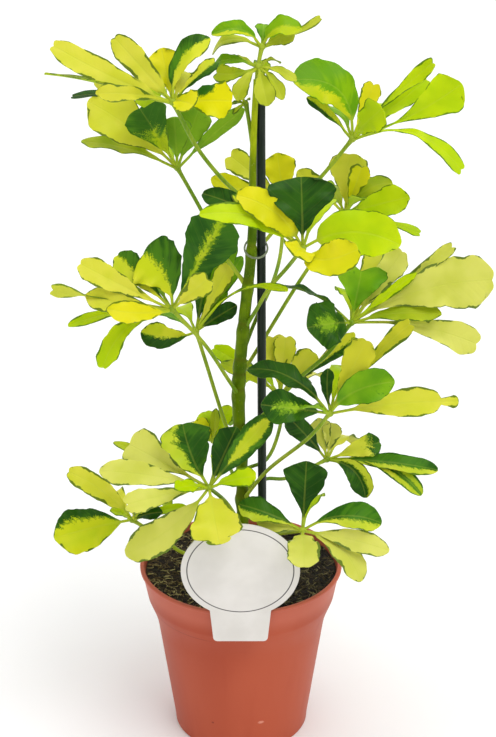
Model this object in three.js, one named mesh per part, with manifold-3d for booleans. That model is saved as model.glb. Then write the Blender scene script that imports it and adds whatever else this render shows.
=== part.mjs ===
// A potted umbrella plant: a variegated Schefflera on a stake, in a plastic grower's pot.
// Units are millimetres, +Z is up, +Y points away from the viewer, and the origin is the centre
// of the pot's underside.
import * as THREE from "three";
import Module from "manifold-3d";
import { mergeVertices } from "three/addons/utils/BufferGeometryUtils.js";

const wasm = await Module();
wasm.setup();

// Driving dimensions
const POT_HEIGHT = 106;
const LIP_RADIUS = 59.8;
const LIP_HEIGHT = 1.8;
const COLLAR_DEPTH = 19;
const COLLAR_TOP_RADIUS = 58.6;
const COLLAR_FOOT_RADIUS = 55.4;
const WALL_TOP_RADIUS = 50.3;
const BASE_RADIUS = 40.3;
const CORNER_RADIUS = 3;
const SHOULDER_HEIGHT = 13;
const LIP_UNDERSIDE = 0.4;
const WALL = 1.6;
const FLOOR = 2;
const POT_SIDES = 32;
const DRAIN_HOLES = 6;
const DRAIN_RADIUS = 3.5;
const DRAIN_CIRCLE = 28;
const DRAIN_SIDES = 8;
const GAP = 0.3;
const SIMPLIFY = 0.25;
const SOIL_LEVEL = 102;
const SOIL_RELIEF = 1.6;
const SOIL_RINGS = [0.85, 0.65, 0.42, 0.2];
const SOIL_SIDES = 20;
const STEM_FOOT = 72;
const STEM_SIDES = 8;
const STAKE_RADIUS = 2.5;
const STAKE_SIDES = 12;
const STAKE_FOOT = [13.3, 4, 30];
const STAKE_TOP = [10.9, 4, 381];
const TIE_CENTRE = [8.6, 2, 299];
const TIE_RADIUS = 6.3;
const TIE_DEPTH = 7.8;
const TIE_WIRE = 0.55;
const TIE_TILT = 23;
const TIE_SIDES = 5;
const TIE_STEPS = 18;
const LABEL_WIDTH = 65.5;
const LABEL_HEIGHT = 57.8;
const LABEL_CENTRE_HEIGHT = 133.4;
const LABEL_THICKNESS = 0.9;
const TAB_TOP_WIDTH = 35;
const TAB_FOOT_WIDTH = 30.6;
const TAB_TOP_DROP = 20;
const TAB_FOOT = 89;
const TAB_ROUND = 2.5;
const HOOK_WIDTH = 18;
const HOOK_THICKNESS = 1;
const HOOK_BEND = -55.2;
const HOOK_FOOT = [-45, 66];
const BLADE_THICKNESS = 0.8;
const LONG_LENGTH = 52;
const SMALL_LENGTH = 32;
const TINY_LENGTH = 25;
const STALK_SHARE = 0.15;
const STALK_HALF_WIDTH = 0.8;
const STALK_ROOT = 0.5;
const CURL_START = 0.65;
const EDGE_CALM = 0.85;
const TWIST_START = 0.3;
const FLARE_START = 0.7;
const HUB_RADIUS = 2.3;
const BUD_HUB_RADIUS = 1.2;
const BUD_LEAFLETS = 4;
const PETIOLE_RADIUS = 1.1;
const PETIOLE_FOOT_RADIUS = 2.2;
const PETIOLE_SIDES = 5;
const FOOT_LENGTH = 11;
const CROWN_HEIGHT = 350;
const PETIOLE_STEP = 18;

// The main stem's centre line, each point [x, y, z, radius]. It wanders and thins upwards.
const STEM = [
  [1.6, 0, STEM_FOOT, 3.9], [1.5, 0, 100, 3.8], [1.2, 0, 130, 3.5], [0.8, 0.3, 150, 3.4],
  [0.6, 0.5, 172, 3.4], [-0.9, 0.4, 196, 3.6], [-1.4, 0, 216, 3.7], [0.3, 0, 240, 3.5],
  [2.8, 0, 266, 3.2], [5.6, 0, 290, 2.9], [6.8, 0, 314, 2.4], [6.6, 0, 327, 2.1],
  [6.9, 0, 354, 1.8], [7.9, 0, 380, 1.6], [8.8, -1, 392, 1.6],
];

// How far each tip form is cut back: [base power, tip power, share closed at the tip, notch], and
// for a tip that widens again past a neck, how far.
const TIP_FORMS = {
  round: [1.1, 2.2, 0.975, 0],
  oval: [0.8, 1.6, 0.97, 0],
  blunt: [1.1, 3.4, 0.9, 0.03],
  notch: [1.1, 3.6, 0.85, 0.07],
  point: [0.9, 1.6, 0.985, 0],
  spoon: [2.6, 3.2, 0.96, 0],
  fan: [1.6, 5, 0.8, 0.04],
  paddle: [1.4, 5, 0.95, 0],
  cleft: [1.4, 4, 0.8, 0.16],
  vase: [1, 2.2, 1.45, 0, 0.19],
  strap: [0.4, 4, 0.85, 0.03],
  taper: [0.5, 1.2, 0.97, 0],
  wedge: [0.6, 3, 0.97, 0],
  snout: [1, 3, 1.25, 0, 0.28],
};

// Every compound leaf: its node's name, the hub where its leaflets meet, the height where its
// stalk leaves the main stem, the places its stalk passes through, and its leaflets. A leaflet's
// row is [right, back, up, arch, width, lean, side, curl, colour, tip, bend, twist]: the tip's place
// from the hub, the rise of its middle, its width, how far its face leans to the viewer and to the
// right of straight up, in degrees, and how far its tip curls up. The last two may be left out: how
// far its middle bows sideways, and how far its face has turned at the tip, in degrees.
const LEAVES = [
  ["leaf_crown", [9.4, -2, 398.5], 392, [], [
    [-11, -10, -16, 4, 9, 65, -20, 0, "tender", "round"],
    [5, -14, -18, 4, 11, 70, 0, 0, "tender", "round"],
    [13, -10, -15.5, 4, 7, 60, 20, 0, "tender", "round"],
    [20, -8, -6, 3, 6, 40, 0, 0, "tender", "round"],
    [-17, 12, 1, 3, 5, 20, 0, 0, "tender", "point"],
    [12, 12, 0, 3, 4, 20, 0, 0, "tender", "point"],
    [-23, 0, -3, 2, 10, 60, 0, 0, "olive", "notch", -3, 0],
    [-24, 8, 0, 5, 8, 45, 0, -2, "green", "round"],
    [3, 18, -7, 5, 9, -30, 0, 0, "lime", "round"],
  ]],
  ["leaf_tip", [11.5, 0, 408.5], 0, [], [
    [-25, -6, 9, 7, 10, 40, 0, -3, "green_half", "point"],
    [-27, 6, -2, 6, 8, 35, 0, -4, "tender", "point"],
    [19, -4, 11, 5, 12, 45, 0, -3, "green_half_left", "point", -2, 0],
    [31, 5, 14, -2, 5, 40, 0, 1, "tender", "fan"],
    [17, 0, 6, 2, 9, 55, 0, 0, "tender", "oval"],
    [1, 10, 10, 2, 9, 60, 0, 0, "green", "round"],
    [10, 30, 2, 5, 12, 0, 0, -3, "lime", "round"],
  ]],
  ["leaf_bud", [3.1, 5, 378], 353, [], [
    [-7, -4, -5, 1, 3, 30, 0, 0, "olive", "point"],
    [2, -4, 3, 1, 3, 30, 0, 0, "olive", "point"],
    [-5, 4, 4, 1, 3, 30, 0, 0, "olive", "point"],
    [-8, 3, -1, 1, 3, 30, 0, 0, "olive", "point"],
  ]],
  ["leaf_top_left", [-34, -28, 385], 326, [[-3, -9, 334], [-21, -20, 358]], [
    [-60, -5, 30, 1, 13, 60, 0, 0, "cream", "strap", -2, 0],
    [-30, 8, 32, 0, 13, 75, 0, 0, "cream", "strap"],
    [-6, 14, 25, 0, 16, 75, 0, 0, "yellow", "round"],
    [18, 4, 32, 4, 13, 60, -20, -3, "half_left", "point", -5, 0],
    [-63, -8, 17, 1, 8, -5, 0, -1, "olive", "point"],
    [-37, -18, 8, 3, 10, 50, 0, 0, "gold", "round"],
    [-40, 4, 9, 2, 9, 45, 0, 0, "cream", "round"],
    [-53, 10, 1, 3, 7, 20, 0, 0, "dark", "blunt"],
    [12, -24, 3, 2, 14, 60, 0, 0, "yellow", "blunt"],
    [31, -12, 3, 2, 19, 65, 0, 0, "spot", "blunt"],
    [23, 8, 20, 3, 8, 50, 0, 0, "half", "notch"],
    [7, 18, 12, 3, 12, 60, 0, 0, "cream", "round"],
    [-18, 45, -8, 5, 15, 0, 0, -3, "lime", "round"],
    [10, 42, 8, 5, 15, 0, 0, -3, "green", "round"],
  ]],
  ["leaf_upper_left", [-35, 30, 337], 277, [[-11, 10, 296], [-21, 20, 314]], [
    [-53, 0, 15, 4, 11, 25, 0, 0, "olive", "point"],
    [-1, -6, 30, 2, 18, -85, 0, 0, "green", "round"],
    [13, 10, 33, 2, 18, -80, 0, 0, "green", "round"],
    [-20, -12, 37, 2, 25, 65, 0, 0, "lime_end", "fan"],
    [-48, -4, 38, 2, 27, 60, 0, 0, "cream", "round", 2, 0],
    [37, 16, 30, 2, 10, -70, 0, 0, "green", "round"],
    [-15, 42, 8, 4, 15, 0, 0, -3, "lime", "round"],
  ]],
  ["leaf_top_right", [61, 18, 356], 297, [
    [9, 9.5, 296.5], [14, 12, 300.5], [25, 14, 314], [45, 17, 336],
  ], [
    [-33, -6, 33, 6, 26, 50, 10, 0, "green_half", "oval", 12, 0],
    [-25, 4, 22, 2, 7, 40, 0, 0, "half_left", "round"],
    [12, 8, 30, 0, 11, 70, 0, 0, "yellow", "notch"],
    [14, -20, 21, 2, 18, 60, 0, 0, "lime", "blunt"],
    [44, 2, 41, -2, 9, 55, -10, 4, "lime", "fan", -3, 0],
    [42, 16, 30, 0, 12, 60, 0, 0, "lime", "blunt"],
    [57, -6, 31, 0, 23, 65, 0, 0, "lime", "spoon", 3, 0],
    [59, -16, -15, 15, 12, 30, 0, 0, "lime", "fan", -2, 0],
    [-12, 42, 10, 6, 16, 0, 0, -4, "green", "round"],
    [28, 38, 12, 5, 15, 0, 0, -3, "lime", "round"],
  ]],
  ["leaf_front_centre", [32, -52, 315], 252, [[8, -4, 264], [15, -8, 278], [25, -24, 296]], [
    [-1, 4, 36, 3, 35, 75, 0, -2, "dark", "paddle"],
    [49, -8, 4, 4, 24, 65, 0, 0, "lime", "taper", -7, 0],
    [27, -26, 8, 3, 18, 60, 0, 0, "yellow", "strap", 7, 0],
    [-5, -15, 1, 2, 18, 60, 0, 0, "yellow", "round"],
    [-34, 0, 28, 3, 17, 60, 0, 0, "yellow", "taper", 5, 0],
    [-52, -8, 20, 2, 12, 55, 0, 0, "lime", "taper", 7, 0],
    [-36, 8, 26, 4, 8, 40, 0, 0, "half", "round"],
    [-51, 14, 26, 6, 13, 45, 0, -2, "dark", "round"],
    [15, 40, 18, 5, 16, 10, 0, -3, "lime", "round"],
  ]],
  ["leaf_back_right", [59, 32, 310], 222, [[4, 8, 228], [13, 12, 242], [32, 20, 272]], [
    [2, 10, 33, 1, 22, 75, 0, 0, "cream", "blunt"],
    [9, -4, 30, 1, 12, 70, 0, 0, "yellow", "notch"],
    [26, 4, 18, 4, 12, 45, 0, -3, "olive", "point", -3, 0],
    [8, -16, 14, 3, 9, -40, 0, 0, "lime", "round"],
    [35, -8, 12, 2, 17, 60, 0, 0, "lime", "point"],
    [43, -6, -10, 2, 7, 30, 0, 0, "lime", "fan"],
    [-27, 8, 23, 2, 12, 60, 0, 0, "cream", "round"],
    [-10, 30, 8, 4, 14, 20, 0, 0, "olive", "round"],
    [12, 42, 5, 6, 18, 0, 0, -4, "lime", "round"],
    [38, 32, 2, 5, 15, 0, 0, -3, "green", "round"],
  ]],
  ["leaf_back_centre", [25, 55, 312], 231, [
    [3, 5, 241], [9, 9.3, 256], [18, 20, 273], [23, 38, 286],
  ], [
    [-4, 8, 26, 1, 19, 75, 0, 0, "yellow", "point"],
    [-33, 6, 26, 2, 15, 60, 0, 0, "cream", "notch"],
    [-42, -4, 14, 2, 13, 55, 0, 0, "yellow", "point", -2, 0],
    [-32, 32, -5, 5, 15, 0, 0, -4, "dark", "round"],
    [6, 40, 0, 6, 16, 0, 0, -4, "green", "round"],
    [30, 30, 2, 5, 15, 0, 0, -3, "lime", "round"],
  ]],
  ["leaf_right", [61, -10, 260], 191, [
    [5, -4, 196], [12, -5, 202], [33, -7, 226], [48, -9, 241],
  ], [
    [77, -8, 27, 3, 29, 65, 0, 0, "pale", "blunt", -6, 0],
    [56, 4, 43, 3, 8, 40, 0, 2, "pale", "fan", 1, 0],
    [48, -12, 8, 3, 12, 35, 0, 2, "olive", "point", -2, 0],
    [69, -18, -7, 3, 17, 60, 0, 0, "pale", "fan", -4, 0],
    [6, 6, 33, 1, 29, 75, 0, 0, "green", "cleft"],
    [29, 16, 37, 1, 15, 65, 0, 0, "pale", "blunt"],
    [22, 30, 38, 2, 20, 60, 0, 0, "cream", "round"],
    [34, -4, 30, 1, 6, 50, 0, 0, "lime", "point"],
    [-43, 10, 19, 5, 12, -10, 0, -2, "dark", "round"],
    [-25, -22, 5, 3, 26, 60, 0, 0, "heart", "oval"],
    [2, 45, 5, 6, 18, 0, 0, -4, "lime", "round"],
    [32, 38, 8, 6, 16, 0, 0, -4, "cream", "round"],
  ]],
  ["leaf_lower_right", [48, -48, 222], 146, [[15, -16, 173], [38, -38, 204]], [
    [-43, 12, 23, 9, 14, 25, 0, -4, "dark", "point"],
    [-37, -14, 11, 3, 18, 65, 0, 0, "heart", "round"],
    [19, 2, 42, 1, 16, 60, 0, 0, "gold", "blunt"],
    [32, -12, 23, 4, 18, 60, 0, -2, "green", "point", -4, 0],
    [43, 6, 50, -3, 10, 50, 0, 0, "gold", "fan", -3, 0],
    [67, -10, 11, 0, 16, 55, 0, 0, "cream", "vase", -2, 0],
    [-16, -16, 10, 2, 8, -30, 0, 0, "green", "round"],
    [-1, 10, 22, 2, 8, 60, -30, 0, "dark", "round"],
    [12, 42, 12, 6, 16, 0, 0, -4, "lime", "round"],
  ]],
  ["leaf_back_lower_right", [52, 38, 155], 148, [[6, 8.5, 152], [15, 13, 154], [27, 20, 151]], [
    [-5, 10, 23, 1, 13, 75, 0, 2, "pale", "round"],
    [4, 10, 20, 1, 12, 75, 0, 2, "pale", "blunt"],
    [33, 4, 10, 2, 14, 60, 0, 0, "green_tip", "blunt"],
    [68, 2, -8, 5, 12, 42, 0, 0, "dark_half_left", "point"],
    [58, -8, -19, 6, 13, 30, 0, -2, "stripe", "round", -6, 0],
    [23, -14, -19, 5, 14, 35, -20, 0, "dark_half", "oval", -6, 0],
    [-26, -14, 36, 2, 14, 50, 0, 0, "dark", "round"],
    [18, 40, -2, 6, 16, 0, 0, -5, "cream", "round"],
    [42, 32, -15, 6, 15, 0, 0, -4, "green", "round"],
  ]],
  ["leaf_pot_right", [34, -54, 155], 112, [], [
    [2, 8, 38, 1, 24, 75, 0, 0, "dark", "paddle"],
    [43, -2, 6, 6, 16, 45, 0, -2, "dark_half_left", "round", -4, 0],
    [47, -10, -7, 3, 13, 45, 0, -1, "pale", "point"],
    [31, -18, -22, 5, 16, 45, 20, 0, "pale", "wedge", -5, 0],
    [0, -26, -9, 3, 18, 60, 0, 0, "pale", "strap"],
    [-25, 2, 4, 1, 12, 50, 0, 0, "pale", "round"],
    [-35, 6, 13, 5, 14, 45, 0, 0, "dark_half", "round"],
    [8, 38, 5, 5, 15, 0, 0, -4, "lime", "round"],
  ]],
  ["leaf_left", [-36, -34, 276], 213, [[-7, -11, 227], [-19, -24, 252]], [
    [-64, -8, 14, 0, 9, 60, 0, 0, "cream", "fan", 0, 150],
    [-49, 0, 26, 3, 14, 60, 0, 0, "cream", "blunt", -1, 0],
    [-45, -6, 10, 2, 13, 60, 0, 0, "cream", "round", -2, 0],
    [-16, 6, 29, 2, 31, 70, 0, 0, "half", "blunt", 5, 0],
    [-30, 12, 27, 2, 15, 60, 0, 0, "half", "blunt"],
    [-33, -20, 7, 3, 12, 55, 0, 0, "yellow", "point", -3, 0],
    [-56, 2, -10, 3, 7, 40, 0, 0, "lime", "round", 2, 0],
    [-37, -14, -29, 2, 14, 45, 0, 0, "lime", "blunt", 8, 30],
    [28, 6, 50, 2, 28, 75, 0, 0, "vein", "blunt"],
    [21, -18, 24, 2, 13, 70, 0, 0, "cream", "notch"],
    [-25, 40, 8, 6, 18, 0, 0, -4, "green", "round"],
  ]],
  ["leaf_inner_left", [-25, 4, 250], 175, [[-8, 2, 192], [-13, 3, 208], [-19, 4, 229]], [
    [-30, -12, 4, 2, 15, 55, 0, 0, "half_left", "round", -4, 0],
    [23, 4, 14, 2, 10, 60, 0, 0, "dark", "point"],
    [16, 12, 23, 2, 10, 50, 0, 0, "green", "round"],
    [19, 6, 38, 1, 11, 70, 0, 0, "cream", "blunt"],
    [50, -36, 36, 6, 6, 30, 0, 0, "lime", "spoon", -10, 0],
    [26, 22, 37, 2, 9, 60, 0, 0, "green", "point"],
    [7, 12, 35, 2, 12, 60, 0, 0, "dark", "round"],
    [22, 16, 48, 2, 10, 60, 0, 0, "green", "point"],
    [-15, 40, 0, 6, 16, 0, 0, -4, "lime", "round"],
    [-34, 20, 2, 5, 14, 0, 0, -4, "green", "round"],
  ]],
  ["leaf_lower_left", [-17, -52, 180], 128, [], [
    [-14, 4, 37, 2, 27, 70, 0, 0, "dark_half", "blunt", -2, 0],
    [15, 4, 34, 2, 17, 65, 0, 0, "dark", "round"],
    [34, 2, 42, 4, 14, 60, 0, 0, "edged", "point"],
    [6, -28, -20, 4, 28, 60, 0, 0, "cream", "snout"],
    [26, -12, 13, 2, 11, 45, 0, 0, "lime", "blunt"],
    [-17, -22, 10, 2, 10, 30, 0, 0, "lime", "round"],
    [-45, 10, 22, 2, 24, 55, 0, 0, "pale", "fan"],
    [-53, 20, 18, 3, 6, 30, 0, 0, "olive", "round"],
    [-59, -2, 11, 5, 15, 45, 0, 0, "pale", "round"],
    [-46, -8, -36, 4, 19, 55, 0, 0, "pale", "oval", -5, 0],
    [-46, -18, -2, 3, 13, 50, 0, 0, "pale", "notch"],
    [12, 40, 8, 5, 15, 0, 0, -4, "lime", "round"],
    [-20, 38, 5, 5, 15, 0, 0, -4, "green", "round"],
  ]],
  ["leaf_pot_left", [-62, -20, 144], 107, [[-17, -7, 112], [-34, -12, 118.5], [-43, -14.5, 127]], [
    [-44, -8, -7.5, -4, 26, 60, 0, 0, "strip", "oval", 1, 0],
    [-37, 6, 28, 2, 13, 60, 0, 0, "cream", "strap", 3, 0],
    [11, -14, 18, 3, 8, 40, 0, 0, "yellow", "round"],
    [-11, -12, 12, 1, 6, 30, 0, 0, "lime", "point"],
    [32, -10, 13, 3, 6, 40, 0, 0, "lime", "round"],
    [18, -12, 11, 2, 8, 40, 0, 0, "dark", "round"],
    [-20, 35, 0, 5, 15, 0, 0, -4, "cream", "round"],
    [18, 35, -5, 5, 15, 0, 0, -4, "lime", "round"],
  ]],
  ["leaf_back_left", [-17, 48, 163], 150, [], [
    [-10, 0, 13, 2, 11, 60, 0, -3, "yellow", "round"],
    [-5, 6, 17, 2, 12, 60, 0, -2, "lime", "blunt"],
    [2, -4, 23, 2, 6, 50, 0, 0, "olive", "point"],
    [10, 4, 21, 2, 10, 60, 0, -3, "lime", "round"],
    [-25, 30, -5, 5, 15, 0, 0, -4, "cream", "round"],
    [10, 38, -2, 6, 16, 0, 0, -4, "green", "round"],
    [-32, 10, -6, 5, 14, 20, 0, -3, "lime", "round"],
  ]],
  ["leaf_back_middle", [24, 58, 189], 160, [[3, 7, 163], [15, 14, 166], [24, 36, 181]], [
    [-5, 6, 38, 1, 18, 75, 0, 0, "cream", "notch"],
    [3, 2, 39, 1, 14, 70, 0, 0, "cream", "notch"],
    [20, 0, 29, 2, 16, 60, 0, 0, "cream", "blunt"],
    [46, -8, 42, 3, 11, 55, 0, 0, "half", "fan"],
    [-40, -4, 33, 3, 11, 50, 0, -4, "lime", "blunt"],
    [-35, -12, 26, 3, 10, 40, 0, -2, "olive", "round"],
    [18, 4, 9, 3, 12, 20, 0, -3, "dark", "round"],
    [5, 42, 2, 6, 18, 0, 0, -5, "green", "round"],
    [-22, 35, -2, 6, 16, 0, 0, -4, "lime", "round"],
    [30, 32, 0, 6, 16, 0, 0, -4, "cream", "round"],
  ]],
];

// Colours as they look on the real plant
const COLOURS = {
  pot: 0xb95a41, soil: 0x3c3223, stem: 0x55780a, stake: 0x1e2d28, wire: 0x8a9189, label: 0xe1ded7,
  leaf: 0xa9b828,
};

const UP = new THREE.Vector3(0, 0, 1);
const point = (xyz) => new THREE.Vector3(...xyz);

// A repeatable draw from 0 to 1 for the given number.
function draw(number) {
  const value = Math.sin(number * 78.233) * 43758.5453;
  return value - Math.floor(value);
}

// A closed solid for joining and cutting, from a closed three.js geometry.
function solidFrom(geometry) {
  const bare = new THREE.BufferGeometry();
  bare.setAttribute("position", geometry.getAttribute("position"));
  bare.setIndex(geometry.getIndex());
  const merged = mergeVertices(bare, 1e-4);
  const vertProperties = new Float32Array(merged.getAttribute("position").array);
  const corners = Array.from(merged.getIndex().array);
  const triangles = [];
  for (let i = 0; i < corners.length; i += 3) {
    const [a, b, c] = corners.slice(i, i + 3);
    if (a !== b && b !== c && c !== a) triangles.push(a, b, c);
  }
  return new wasm.Manifold(new wasm.Mesh({
    numProp: 3, vertProperties, triVerts: new Uint32Array(triangles),
  }));
}

function geometryFrom(solid) {
  const mesh = solid.getMesh();
  const geometry = new THREE.BufferGeometry();
  geometry.setAttribute("position", new THREE.BufferAttribute(new Float32Array(mesh.vertProperties), 3));
  geometry.setIndex(new THREE.BufferAttribute(new Uint32Array(mesh.triVerts), 1));
  geometry.computeVertexNormals();
  return geometry;
}

// Joins rings of points into a closed solid with flat ends. Each ring turns the same way about the
// direction of travel. The sides listed in flipped are split along their other diagonal.
function loft(rings, flipped = []) {
  const count = rings[0].length;
  const positions = rings.flat().flatMap((p) => [p.x, p.y, p.z]);
  const index = [];
  for (let i = 0; i < rings.length - 1; i += 1) {
    for (let j = 0; j < count; j += 1) {
      const a = i * count + j;
      const b = i * count + ((j + 1) % count);
      const c = b + count;
      const d = a + count;
      if (flipped.includes(j)) index.push(a, b, d, b, c, d);
      else index.push(a, b, c, a, c, d);
    }
  }
  const last = (rings.length - 1) * count;
  for (let j = 1; j < count - 1; j += 1) {
    index.push(0, j + 1, j);
    index.push(last, last + j, last + j + 1);
  }
  const geometry = new THREE.BufferGeometry();
  geometry.setAttribute("position", new THREE.Float32BufferAttribute(positions, 3));
  geometry.setIndex(index);
  return solidFrom(geometry);
}

// A tapering round rod along a curve, with a ring at each of the given shares of the curve.
function rod(curve, shares, radiusAt, sides) {
  const side = new THREE.Vector3(1, 0, 0).cross(curve.getTangent(0)).normalize();
  const rings = shares.map((share) => {
    const centre = curve.getPoint(share);
    const along = curve.getTangent(share);
    side.addScaledVector(along, -side.dot(along)).normalize();
    const other = along.clone().cross(side);
    const ring = [];
    for (let j = 0; j < sides; j += 1) {
      const angle = (2 * Math.PI * j) / sides;
      ring.push(centre.clone()
        .addScaledVector(side, radiusAt(share) * Math.cos(angle))
        .addScaledVector(other, radiusAt(share) * Math.sin(angle)));
    }
    return ring;
  });
  return loft(rings);
}

// The stem's centre and radius at a height.
function stemAt(height) {
  const above = STEM.findIndex((row) => row[2] > height);
  const next = above < 0 ? STEM.length - 1 : Math.max(above, 1);
  const [from, to] = [STEM[next - 1], STEM[next]];
  const share = Math.min((height - from[2]) / (to[2] - from[2]), 1);
  const [x, y, z, radius] = from.map((value, i) => value + (to[i] - value) * share);
  return { centre: new THREE.Vector3(x, y, z), radius };
}

function stemSolid(margin) {
  const rings = STEM.map(([x, y, z, radius]) => {
    const ring = [];
    for (let j = 0; j < STEM_SIDES; j += 1) {
      const angle = (2 * Math.PI * j) / STEM_SIDES;
      const reach = radius + margin;
      ring.push(new THREE.Vector3(x + reach * Math.cos(angle), y + reach * Math.sin(angle), z));
    }
    return ring;
  });
  const top = rings[rings.length - 1];
  const foot = rings[0];
  top.forEach((p) => { p.z += margin; });
  foot.forEach((p) => { p.z -= margin; });
  return loft(rings);
}

// A leaflet's midrib, face and half width, all from its row.
function leafletForm(hub, row, seed) {
  const [right, back, up, arch, width, lean, side, curl, , tip, bend = 0, twist = 0] = row;
  const chord = new THREE.Vector3(right, back, up);
  const direction = chord.clone().normalize();
  const leanAngle = THREE.MathUtils.degToRad(lean);
  const sideAngle = THREE.MathUtils.degToRad(side);
  const face = new THREE.Vector3(Math.sin(sideAngle), -Math.cos(sideAngle) * Math.sin(leanAngle),
    Math.cos(sideAngle) * Math.cos(leanAngle));
  const rise = face.clone().addScaledVector(direction, -face.dot(direction)).normalize();
  const curled = (s) => Math.max(0, (s - CURL_START) / (1 - CURL_START)) ** 2;
  const beside = direction.clone().cross(rise);
  const midrib = (s) => hub.clone().addScaledVector(chord, s)
    .addScaledVector(rise, 4 * s * (1 - s) * arch + curl * curled(s))
    .addScaledVector(beside, 4 * s * (1 - s) * bend);
  const [basePower, tipPower, closed, notch, flare = 0] = TIP_FORMS[tip];
  const outline = (u) => u ** basePower * Math.sqrt(Math.max(0, 1 - closed * u ** tipPower))
    + flare * Math.max(0, (u - FLARE_START) / (1 - FLARE_START));
  let widest = 0;
  for (let u = 0.05; u < 1; u += 0.05) widest = Math.max(widest, outline(u));
  const waves = 1.4 + 1.4 * draw(seed + 1);
  const swing = width * (0.05 + 0.06 * draw(seed + 2));
  const channel = width * (0.04 + 0.11 * draw(seed + 3));
  return {
    length: chord.length(), midrib, face, notch,
    turn: (s) => THREE.MathUtils.degToRad(twist) * Math.max(0, (s - TWIST_START) / (1 - TWIST_START)),
    halfWidth: (u) => Math.max(STALK_HALF_WIDTH, (width / 2) * outline(u) / widest),
    lift: (u, edge) => Math.sin(Math.PI * Math.min(u, EDGE_CALM))
      * (channel + swing * Math.sin(2 * Math.PI * (waves * u + draw(seed + 4 + edge)))),
  };
}

// One leaflet: a short stalk and a thin waved blade with a face above and one below. Long ones get
// more rings, and small ones have no fold along the middle.
function leafletSolid(hub, row, seed) {
  const form = leafletForm(hub, row, seed);
  const small = form.length < SMALL_LENGTH;
  const bladeShares = form.length > LONG_LENGTH ? [0, 0.26, 0.54, 0.82, 1]
    : form.length > TINY_LENGTH ? [0, 0.38, 0.75, 1] : [0, 0.65, 1];
  const stations = [0, ...bladeShares.map((u) => STALK_SHARE + u * (1 - STALK_SHARE))];
  const rings = stations.map((s) => {
    const u = Math.max(0, (s - STALK_SHARE) / (1 - STALK_SHARE));
    const along = form.midrib(s + 0.01).sub(form.midrib(s - 0.01)).normalize();
    const normal = form.face.clone().addScaledVector(along, -form.face.dot(along)).normalize()
      .applyAxisAngle(along, form.turn(s));
    const across = along.clone().cross(normal);
    const root = s === 0 ? STALK_ROOT / STALK_HALF_WIDTH : 1;
    const half = root * form.halfWidth(u);
    const thickness = u > 0 ? BLADE_THICKNESS : 2 * root * STALK_HALF_WIDTH;
    const top = (small ? [-1, 1] : [-1, 0, 1]).map((v) => form.midrib(s)
      .addScaledVector(across, v * half)
      .addScaledVector(along, v === 0 ? -form.notch * form.length * u ** 8 : 0)
      .addScaledVector(normal, v === 0 || small ? 0 : form.lift(u, v)));
    const below = top.map((p) => p.clone().addScaledVector(normal, -thickness)).reverse();
    return [...top, ...below];
  });
  return loft(rings, small ? [2] : [3, 4]);
}

// The stalk from the main stem, or from another hub, through its places up to a leaf's hub.
function petioleSolid(start, places, hub, footRadius) {
  const middle = start.clone().lerp(hub, 0.5).addScaledVector(UP, 0.05 * start.distanceTo(hub));
  const stops = [start, ...(places.length > 0 ? places.map(point) : [middle]), hub];
  const curve = new THREE.CatmullRomCurve3(stops, false, "centripetal");
  const shares = [0];
  for (let i = 1; i < stops.length; i += 1) {
    const steps = Math.ceil(stops[i].distanceTo(stops[i - 1]) / PETIOLE_STEP);
    for (let j = 1; j <= steps; j += 1) shares.push((i - 1 + j / steps) / (stops.length - 1));
  }
  const radiusAt = (share) => {
    const flare = Math.max(0, 1 - curve.getPoint(share).distanceTo(start) / FOOT_LENGTH) ** 2;
    return PETIOLE_RADIUS + (footRadius - PETIOLE_RADIUS) * flare;
  };
  return rod(curve, shares, radiusAt, PETIOLE_SIDES);
}

function leafSolid([, hubPlace, stalkHeight, places, leaflets], number, parentHub) {
  const hub = point(hubPlace);
  const start = parentHub ?? stemAt(stalkHeight).centre;
  const inCrown = parentHub || stalkHeight > CROWN_HEIGHT;
  const footRadius = inCrown ? PETIOLE_RADIUS : PETIOLE_FOOT_RADIUS;
  const knobRadius = leaflets.length > BUD_LEAFLETS ? HUB_RADIUS : BUD_HUB_RADIUS;
  const knob = new THREE.IcosahedronGeometry(knobRadius, 0);
  knob.translate(hub.x, hub.y, hub.z);
  const pieces = [petioleSolid(start, places, hub, footRadius), solidFrom(knob)];
  leaflets.forEach((row, i) => pieces.push(leafletSolid(hub, row, number * 100 + i * 7)));
  return wasm.Manifold.union(pieces);
}

// The largest connected body of a solid
function mainBody(solid) {
  return solid.decompose().sort((a, b) => b.volume() - a.volume())[0];
}

function turned(profile, segments) {
  const geometry = new THREE.LatheGeometry(profile.map(([r, z]) => new THREE.Vector2(r, z)), segments);
  geometry.rotateX(Math.PI / 2);
  const solid = solidFrom(geometry);
  if (solid.volume() > 0) return solid;
  throw new Error("the profile runs the wrong way round");
}

function potOutside() {
  const wallFoot = [];
  for (const share of [0, 0.5, 1]) {
    const angle = (Math.PI / 2) * share;
    wallFoot.push([BASE_RADIUS - CORNER_RADIUS + CORNER_RADIUS * Math.sin(angle),
      CORNER_RADIUS - CORNER_RADIUS * Math.cos(angle)]);
  }
  const collarFoot = POT_HEIGHT - COLLAR_DEPTH;
  const lipFoot = POT_HEIGHT - LIP_HEIGHT;
  return [[0, 0], ...wallFoot, [WALL_TOP_RADIUS, collarFoot - SHOULDER_HEIGHT],
    [COLLAR_FOOT_RADIUS, collarFoot], [COLLAR_TOP_RADIUS, lipFoot - LIP_UNDERSIDE],
    [LIP_RADIUS, lipFoot], [LIP_RADIUS, POT_HEIGHT]];
}

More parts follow.
